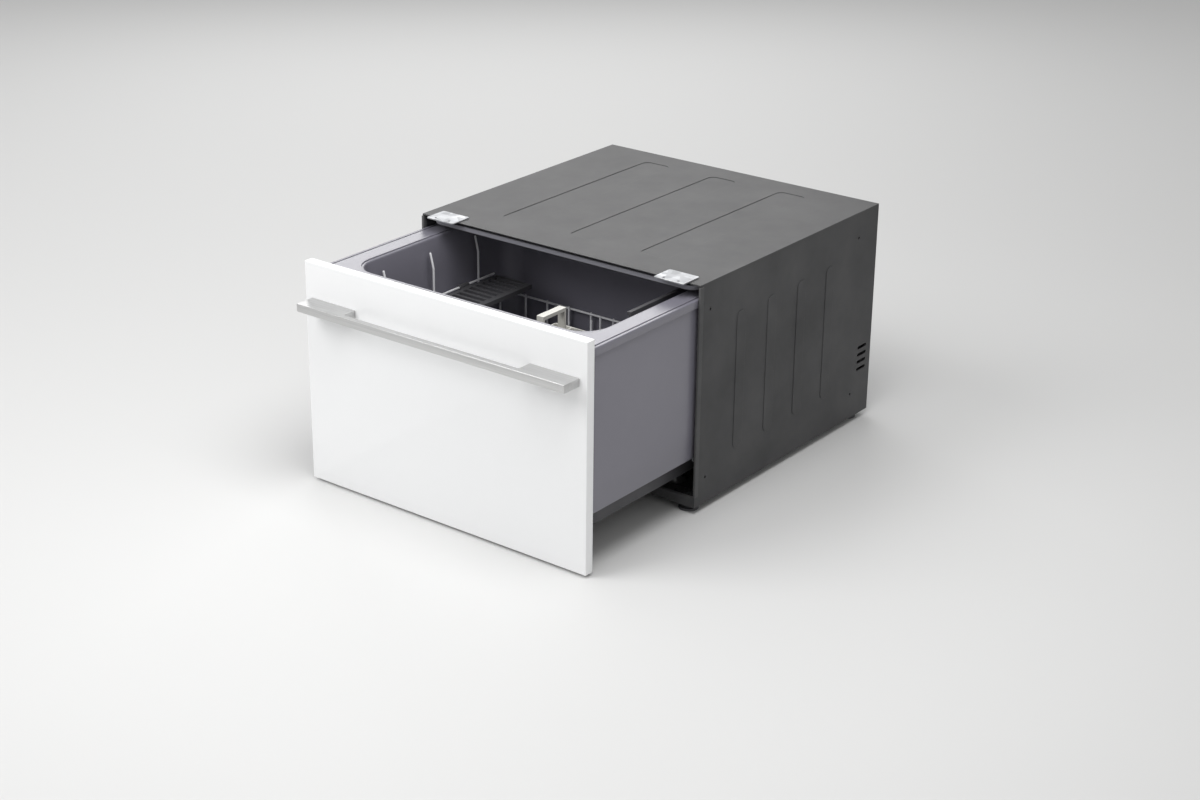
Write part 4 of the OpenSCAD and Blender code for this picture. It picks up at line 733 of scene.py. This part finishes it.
def effect_node(wiring, kind, sockets, values):
    """Places an effect in a material, and gives it its sockets and this material's own values."""
    tree = bpy.data.node_groups.get(kind)
    if tree is None:
        tree = EFFECTS[kind]()
        tree.name = kind
    made = wiring.node("ShaderNodeGroup", {}, node_tree=tree)
    for key, value in {**values, **sockets}.items():
        wiring.put(made, key, as_rgba(value) if isinstance(value, (str, tuple)) else value)
    return made


def finish(slot):
    """The material of one slot: object coordinates, its pattern, its soft edges, bump and shader."""
    found = bpy.data.materials.get("finish_" + slot)
    if found:
        return found
    kind, values, bump, scale, edge, constants = FINISHES[slot]
    made = bpy.data.materials.new("finish_" + slot)
    made.use_nodes = True
    made.node_tree.nodes.clear()
    w = Wiring(made.node_tree)
    place = w.node("ShaderNodeTexCoord", {}).outputs["Object"]
    laid = w.node("ShaderNodeMapping", {"Scale": scale, "Vector": place}).outputs[0]
    pattern = effect_node(w, kind, {"Vector": laid}, values).outputs
    edges = effect_node(w, "edges", {"Vector": place, "Colour": pattern["Colour"],
                                     "Roughness": pattern["Roughness"]}, edge).outputs
    relief = w.node("ShaderNodeBump", {"Strength": bump[0], "Distance": bump[1],
                                       "Height": pattern["Height"], "Normal": edges["Normal"]})
    shader = w.node("ShaderNodeBsdfPrincipled", {
        **constants, "Base Color": edges["Colour"], "Roughness": edges["Roughness"],
        "Normal": relief.outputs[0]})
    w.node("ShaderNodeOutputMaterial", {"Surface": shader.outputs[0]})
    return made


# ---- operators ----


class DRAWER_OT_slab_front(bpy.types.Operator):
    """Builds the slab front with soft arrises"""

    bl_idname = "drawer.slab_front"
    bl_label = "Slab front"

    def execute(self, context):
        low, high = np.array(SLAB_LOW) / MM, np.array(SLAB_HIGH) / MM
        corners = [(low[2], low[0]), (high[2], low[0]), (high[2], high[0]), (low[2], high[0])]
        arris = context.scene.drawer_sizes.slab_arris / MM
        shell = soft_prism(rounded_outline(corners, 1.5), low[1], high[1], arris, "y")
        piece("slab_front", shell, "drawer", ["front_panel"], "front_lacquer")
        return {"FINISHED"}


class DRAWER_OT_bar_handle(bpy.types.Operator):
    """Builds the bar handle with its solid end blocks and the finger gap between them"""

    bl_idname = "drawer.bar_handle"
    bl_label = "Bar handle"

    def execute(self, context):
        sizes = context.scene.drawer_sizes
        low, high = np.array(HANDLE_LOW) / MM, np.array(HANDLE_HIGH) / MM
        gap = high[0] - sizes.handle_block / MM
        inner = low[1] + sizes.handle_bar / MM
        corners = [(low[0], low[1]), (high[0], low[1]), (high[0], high[1]), (gap, high[1]),
                   (gap, inner), (-gap, inner), (-gap, high[1]), (low[0], high[1])]
        outline = rounded_outline(corners, [1.4, 1.4, 1, 1, 3, 3, 1, 1])
        shell = soft_prism(outline, low[2], high[2], sizes.handle_arris / MM)
        piece("bar_handle", shell, "drawer", ["handle_bar"], "handle_steel")
        return {"FINISHED"}


class DRAWER_OT_moulded_tub(bpy.types.Operator):
    """Builds the moulded tub: skirt, lip, rim, basin, sump, ledges and rack posts"""

    bl_idname = "drawer.moulded_tub"
    bl_label = "Moulded tub"

    def execute(self, context):
        mouth = context.scene.drawer_sizes.mouth_radius / MM
        shell = together(tub_shell(mouth), *rack_posts(), *runner_ledges())
        piece("moulded_tub", moved(shell, y=DRAWER_Y), "drawer", ["tub"], "tub_plastic", 40)
        return {"FINISHED"}


class DRAWER_OT_rack_wires(bpy.types.Operator):
    """Builds the coated wires of the rack: cross wires, long wires and the rails round them"""

    bl_idname = "drawer.rack_wires"
    bl_label = "Rack wires"

    def execute(self, context):
        r = context.scene.drawer_sizes.wire / MM / 2
        wires = []
        for y in TALL_Y + LOW_Y:
            leans = y in TALL_Y
            top = RACK_Z + (TALL_RISE if leans else RAIL_RISE) - (TIP_H if leans else 0)
            half = bent([(0, y, RACK_Z), (RACK_X, y, RACK_Z), (RACK_X, y, top)], BEND)
            if leans:
                tip = [(RACK_X, y, top - 12), (RACK_X, y, top), (RACK_X + TIP_OUT, y, top + TIP_H)]
                half = np.concatenate([half[:-1], bent(tip, 8, 5)[1:]])
            path = np.concatenate([(half * [-1, 1, 1])[:0:-1], half])
            wires.append(tube(path, r, (0, -1, 0)))
        wire_piece("cross_wires", wires, "drawer", "rack_cross_wires")

        low, high = RACK_Z - 2 * r + WELD, RACK_Z + RAIL_RISE
        front, back = MID_Y - RACK_Y, MID_Y + RACK_Y
        path = bent([(0, front, high), (0, front, low), (0, back, low), (0, back, high)], BEND)
        wires = [tube(path + [LONG_PITCH * i, 0, 0], r, (1, 0, 0)) for i in range(-4, 5)]
        wire_piece("long_wires", wires, "drawer", "rack_long_wires")

        reach = RACK_Y - 2 * r + WELD
        front, back = MID_Y - reach, MID_Y + reach
        corners = [(-RAIL_X, front), (RAIL_X, front), (RAIL_X, back), (-RAIL_X, back)]
        loop = rounded_outline(corners, 20, 10)[0]
        loop = np.concatenate([loop, np.full((len(loop), 1), high - r)], -1)
        rods = [tube([(x, y, SHELF_ROD_Z) for y in (70, 150, 390)], r, (0, 0, 1)) for x in (-RAIL_X, RAIL_X)]
        wire_piece("rails", [tube(loop, r, (0, 0, 1), closed=True), *rods], "drawer", "rack_rails")
        return {"FINISHED"}


class DRAWER_OT_tine_rows(bpy.types.Operator):
    """Builds the four rows of fold-down tines, each on its axle"""

    bl_idname = "drawer.tine_rows"
    bl_label = "Tine rows"

    def execute(self, context):
        r = context.scene.drawer_sizes.wire / MM / 2
        for node, (x, y0, clips) in TINE_ROWS.items():
            y1 = MID_Y + 168
            wires = [tube([(x, y0, AXLE_Z), (x, MID_Y, AXLE_Z), (x, y1, AXLE_Z)], r, (1, 0, 0))]
            at = np.arange(y0 + 8, y1 - 5.9, TINE_PITCH)
            clear = np.abs(at[:, None] - np.array([TALL_Y[k] for k in clips])).min(1) > 8
            for y in at[clear]:
                wires.append(tube([(x, y, AXLE_Z + z) for z in (0, 30, TINE_H)], r, (1, 0, 0)))
            wire_piece(node.replace("tine_row", "tines"), wires, node, node)
        return {"FINISHED"}


class DRAWER_OT_wash_arm(bpy.types.Operator):
    """Builds the spray arm: a curved blade with raised jets and a turned hub"""

    bl_idname = "drawer.wash_arm"
    bl_label = "Spray arm"

    @staticmethod
    def blade():
        """Curved blade: at each x from tip to tip, the squashed circle with half width w and thickness t
        round a middle line y = a x + b x^3 that bends one way on either side; w falls from 17 to 9 and
        closes as a circle of 9 at the tips."""
        s = np.sin(np.linspace(-math.pi / 2, math.pi / 2, 97))
        x = 185.6 * s
        far = np.abs(x)
        w = 17 - 8 * (far / 177) ** 1.5
        end = np.sqrt(np.clip(81 - np.clip(far - 176.6, 0, None) ** 2, 0.05, None))
        w = np.where(far > 176.6, end, w)
        curve = np.linalg.solve([[102.0, 102.0 ** 3], [176.0, 176.0 ** 3]], [7.0, -3.0])
        middle = curve[0] * x + curve[1] * x ** 3
        low, high = 2 * far / 177, 11 - 4 * far / 177
        tip = np.clip((185.6 - far) / 6, 0, 1) ** 0.5
        half = (high - low) / 2 * (0.35 + 0.65 * tip)
        a = np.linspace(0, 2 * math.pi, 28, endpoint=False)
        cos, sin = np.cos(a), np.sin(a)
        across = np.sign(cos) * np.abs(cos) ** 0.75
        up = np.sign(sin) * np.abs(sin) ** 0.85
        y = middle[:, None] + w[:, None] * across
        z = ((low + high) / 2)[:, None] + half[:, None] * up
        points = np.stack([np.broadcast_to(x[:, None], y.shape), y, z], -1).reshape(-1, 3)
        return points, ring_faces(len(x), len(a))

    def execute(self, context):
        hub = round_profile([(8.06, -8), (17, -8), (17, 16), (11, 16), (8.06, 13)], [0.5, 1, 3, 1, 0.3])
        jet = round_profile([(1.6, 5), (5.2, 5), (3.6, 11.5), (1.6, 11.5)], [0, 0, 1, 0.5], 3)
        shells = [self.blade(), turned(hub, closed=True)]
        for share in (0.3, 0.45, 0.6, 0.75, 0.9):
            for s in (-1, 1):
                shells.append(turned(jet, (s * 186 * share, s * 4, 0), 20, closed=True))
        arm = moved(together(*shells), y=DRAWER_Y + MID_Y, z=FLOOR_Z + 18)
        piece("wash_arm", arm, "spray_arm", ["spray_arm"], "tub_plastic", 50)
        return {"FINISHED"}


class DRAWER_OT_edge_strips(bpy.types.Operator):
    """Builds the strips round the housing's front edges, the sill rail and the lid's rubber seal"""

    bl_idname = "drawer.edge_strips"
    bl_label = "Edge strips and seal"

    def execute(self, context):
        low, high = (np.array(c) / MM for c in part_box("side_trims"))
        # a channel that grips the sheet's edge: 4.6 mm across, 8 mm deep, with a slot for the sheet
        x1 = high[0]
        x0 = x1 - 4.6
        y = HOUSING_Y
        corners = [(x0, y - 1.6), (x1, y - 1.6), (x1, y + 8), (x1 - 1.8, y + 8), (x1 - 1.8, y),
                   (x1 - 3, y), (x1 - 3, y + 8), (x0, y + 8)]
        outline = rounded_outline(corners, [1.2, 1.2, 0.8, 0.3, 0.2, 0.2, 0.3, 0.7])
        strip = soft_prism(outline, low[2], high[2], 0.15)
        piece("edge_strips", together(strip, mirrored(strip)), "chassis", ["side_trims"], "seal_rubber")

        low, high = (np.array(c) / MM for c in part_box("base_front_rail"))
        # an angle of 1.2 mm sheet, with its flange along the top
        y0, z0, z1 = low[1], low[2], high[2]
        corners = [(y0, z0), (y0 + 1.2, z0), (y0 + 1.2, z1 - 1.2),
                   (y0 + 6, z1 - 1.2), (y0 + 6, z1), (y0, z1)]
        outline = rounded_outline(corners, [0.2, 0.2, 0.8, 0.4, 0.4, 1.8])
        # painted shade: the rail is zinc steel, and it gets the black sheet finish so that it looks as dark as
        # the sill in the shade under the drawer
        piece("sill_rail", soft_prism(outline, low[0], high[0], 0.15, "x"), "chassis", ["base_front_rail"],
              "black_sheet")

        low, high = (np.array(c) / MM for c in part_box("lid_seal"))
        path, normal = rounded_outline(
            [(low[0], low[1]), (high[0], low[1]), (high[0], high[1]), (low[0], high[1])], 20, 10)
        # across the seal: a strip 7 mm wide with two lips, carried round the lid
        lips = [(-7, 0.7), (-6.3, 0), (-4.8, 0), (-4.1, 1), (-2.9, 1), (-2.2, 0), (-0.7, 0), (0, 0.7),
                (0, 3.5), (-7, 3.5)]
        profile = round_profile(lips, 0.35, 3)
        flat = path[None] + profile[:, :1, None] * normal[None]
        up = np.broadcast_to(low[2] + profile[:, 1:, None], flat.shape[:2] + (1,))
        points = np.concatenate([flat, up], -1).reshape(-1, 3)
        shell = (points, ring_faces(len(profile), len(path), closed=True))
        piece("lip_seal", shell, "lid", ["lid_seal"], "seal_rubber", 60)
        return {"FINISHED"}


class DRAWER_OT_finishes(bpy.types.Operator):
    """Gives every CAD part that keeps its own shape the finish of its material slot"""

    bl_idname = "drawer.finishes"
    bl_label = "Finishes"

    def execute(self, context):
        slots = {}
        for entry in frame["record"]["materials"]:
            for node in entry.get("nodes", []):
                slots[node] = entry["slot"]
        for name, node in frame["nodes"].items():
            slot = slots.get(name) or node.material_slots[0].material.name.split(".")[0]
            if slot not in FINISHES:
                raise RuntimeError(name + " has a slot with no finish: " + slot)
            for holder in node.material_slots:
                holder.material = finish(slot)
        return {"FINISHED"}


# name, place, the point it faces, width and height in metres, watts
LAMPS = (
    ("key_lamp", (-1.9, -3.0, 3.4), (0, -0.3, 0.25), 2.6, 2.6, 110),
    ("top_lamp", (0.45, -0.5, 1.75), (-0.1, -0.35, 0.3), 0.9, 0.9, 17),
    ("rim_card", (-2.2, 2.4, 1.9), (0, -0.2, 0.38), 2.6, 1.6, 32),
)
SKY_STRENGTH = 0.54

# the camera, fitted to the corners of the slab front and the tub: metres and degrees
CAMERA_PLACE = (2.174, -2.8485, 1.608)
CAMERA_TURN = (67.09, 0, 38.87)
CAMERA_SHIFT = 0.05


def studio_lamp(name, place, aim, width, height, power):
    """A soft rectangular lamp that faces a point."""
    lamp = bpy.data.lights.new(name, "AREA")
    lamp.shape = "RECTANGLE"
    lamp.size = width
    lamp.size_y = height
    lamp.energy = power
    made = bpy.data.objects.new(name, lamp)
    bpy.context.scene.collection.objects.link(made)
    z = np.array(place, float) - np.array(aim, float)
    z /= np.linalg.norm(z)
    x = np.cross((0, 0, 1), z)
    x /= np.linalg.norm(x)
    y = np.cross(z, x)
    matrix = np.eye(4)
    matrix[:3, :3] = np.stack([x, y, z], -1)
    matrix[:3, 3] = place
    made.matrix_world = Matrix(matrix.tolist())


class DRAWER_OT_studio(bpy.types.Operator):
    """Builds the pale floor, the soft lamps, the sky and the camera"""

    bl_idname = "drawer.studio"
    bl_label = "Studio"

    def execute(self, context):
        scene = context.scene
        # metres: a level floor, a quarter circle of radius 4 behind it, and a wall
        x = np.linspace(-14, 14, 29)
        turn = np.linspace(0, math.pi / 2, 13)
        run = np.concatenate([[-12, -4, 0, 4], 8 + 4 * np.sin(turn), [12]])
        rise = np.concatenate([[0, 0, 0, 0], 4 * (1 - np.cos(turn)), [12]])
        points = np.stack(np.broadcast_arrays(x, run[:, None], rise[:, None]), -1).reshape(-1, 3)
        faces = grid_quads(len(run), len(x)).reshape(-1, 4)
        mesh = bpy.data.meshes.new("studio_floor")
        mesh.from_pydata(points.tolist(), [], faces.tolist())
        mesh.polygons.foreach_set("use_smooth", np.ones(len(mesh.polygons), bool))
        floor = bpy.data.objects.new("studio_floor", mesh)
        scene.collection.objects.link(floor)
        paint = bpy.data.materials.new("studio_paint")
        paint.use_nodes = True
        shader = paint.node_tree.nodes["Principled BSDF"]
        shader.inputs["Base Color"].default_value = (*scene.drawer_colours.floor, 1.0)
        shader.inputs["Roughness"].default_value = 0.7
        mesh.materials.append(paint)

        sky = bpy.data.worlds.new("studio_sky")
        sky.use_nodes = True
        scene.world = sky
        light = sky.node_tree.nodes["Background"].inputs
        light["Color"].default_value = (1.0, 1.0, 1.0, 1.0)
        light["Strength"].default_value = SKY_STRENGTH
        for lamp in LAMPS:
            studio_lamp(*lamp)

        camera = bpy.data.cameras.new("studio_camera")
        camera.lens = scene.drawer_sizes.camera_lens
        camera.sensor_width = 36
        camera.shift_x = CAMERA_SHIFT
        made = bpy.data.objects.new("studio_camera", camera)
        made.location = CAMERA_PLACE
        made.rotation_euler = [math.radians(angle) for angle in CAMERA_TURN]
        scene.collection.objects.link(made)
        scene.camera = made
        scene.view_settings.view_transform = "Standard"
        return {"FINISHED"}


STEPS = [
    DRAWER_OT_slab_front, DRAWER_OT_bar_handle, DRAWER_OT_moulded_tub, DRAWER_OT_rack_wires,
    DRAWER_OT_tine_rows, DRAWER_OT_wash_arm, DRAWER_OT_edge_strips, DRAWER_OT_finishes,
    DRAWER_OT_studio,
]


class DRAWER_PT_panel(bpy.types.Panel):
    """Lists the sizes, the colours and the steps"""

    bl_idname = "DRAWER_PT_panel"
    bl_label = "Dishwasher drawer"
    bl_space_type = "VIEW_3D"
    bl_region_type = "UI"
    bl_category = "Drawer"

    def draw(self, context):
        for group in (context.scene.drawer_sizes, context.scene.drawer_colours):
            box = self.layout.box()
            for name in group.bl_rna.properties.keys():
                if name not in ("rna_type", "name"):
                    box.prop(group, name)
        for step in STEPS:
            self.layout.operator(step.bl_idname)


CLASSES = [DrawerSizes, DrawerColours, *STEPS, DRAWER_PT_panel]


def register():
    for made in CLASSES:
        bpy.utils.register_class(made)
    bpy.types.Scene.drawer_sizes = bpy.props.PointerProperty(type=DrawerSizes)
    bpy.types.Scene.drawer_colours = bpy.props.PointerProperty(type=DrawerColours)


def unregister():
    del bpy.types.Scene.drawer_colours
    del bpy.types.Scene.drawer_sizes
    for made in reversed(CLASSES):
        bpy.utils.unregister_class(made)


def main():
    register()
    for step in STEPS:
        group, name = step.bl_idname.split(".")
        getattr(getattr(bpy.ops, group), name)()


if __name__ == "__main__":
    main()
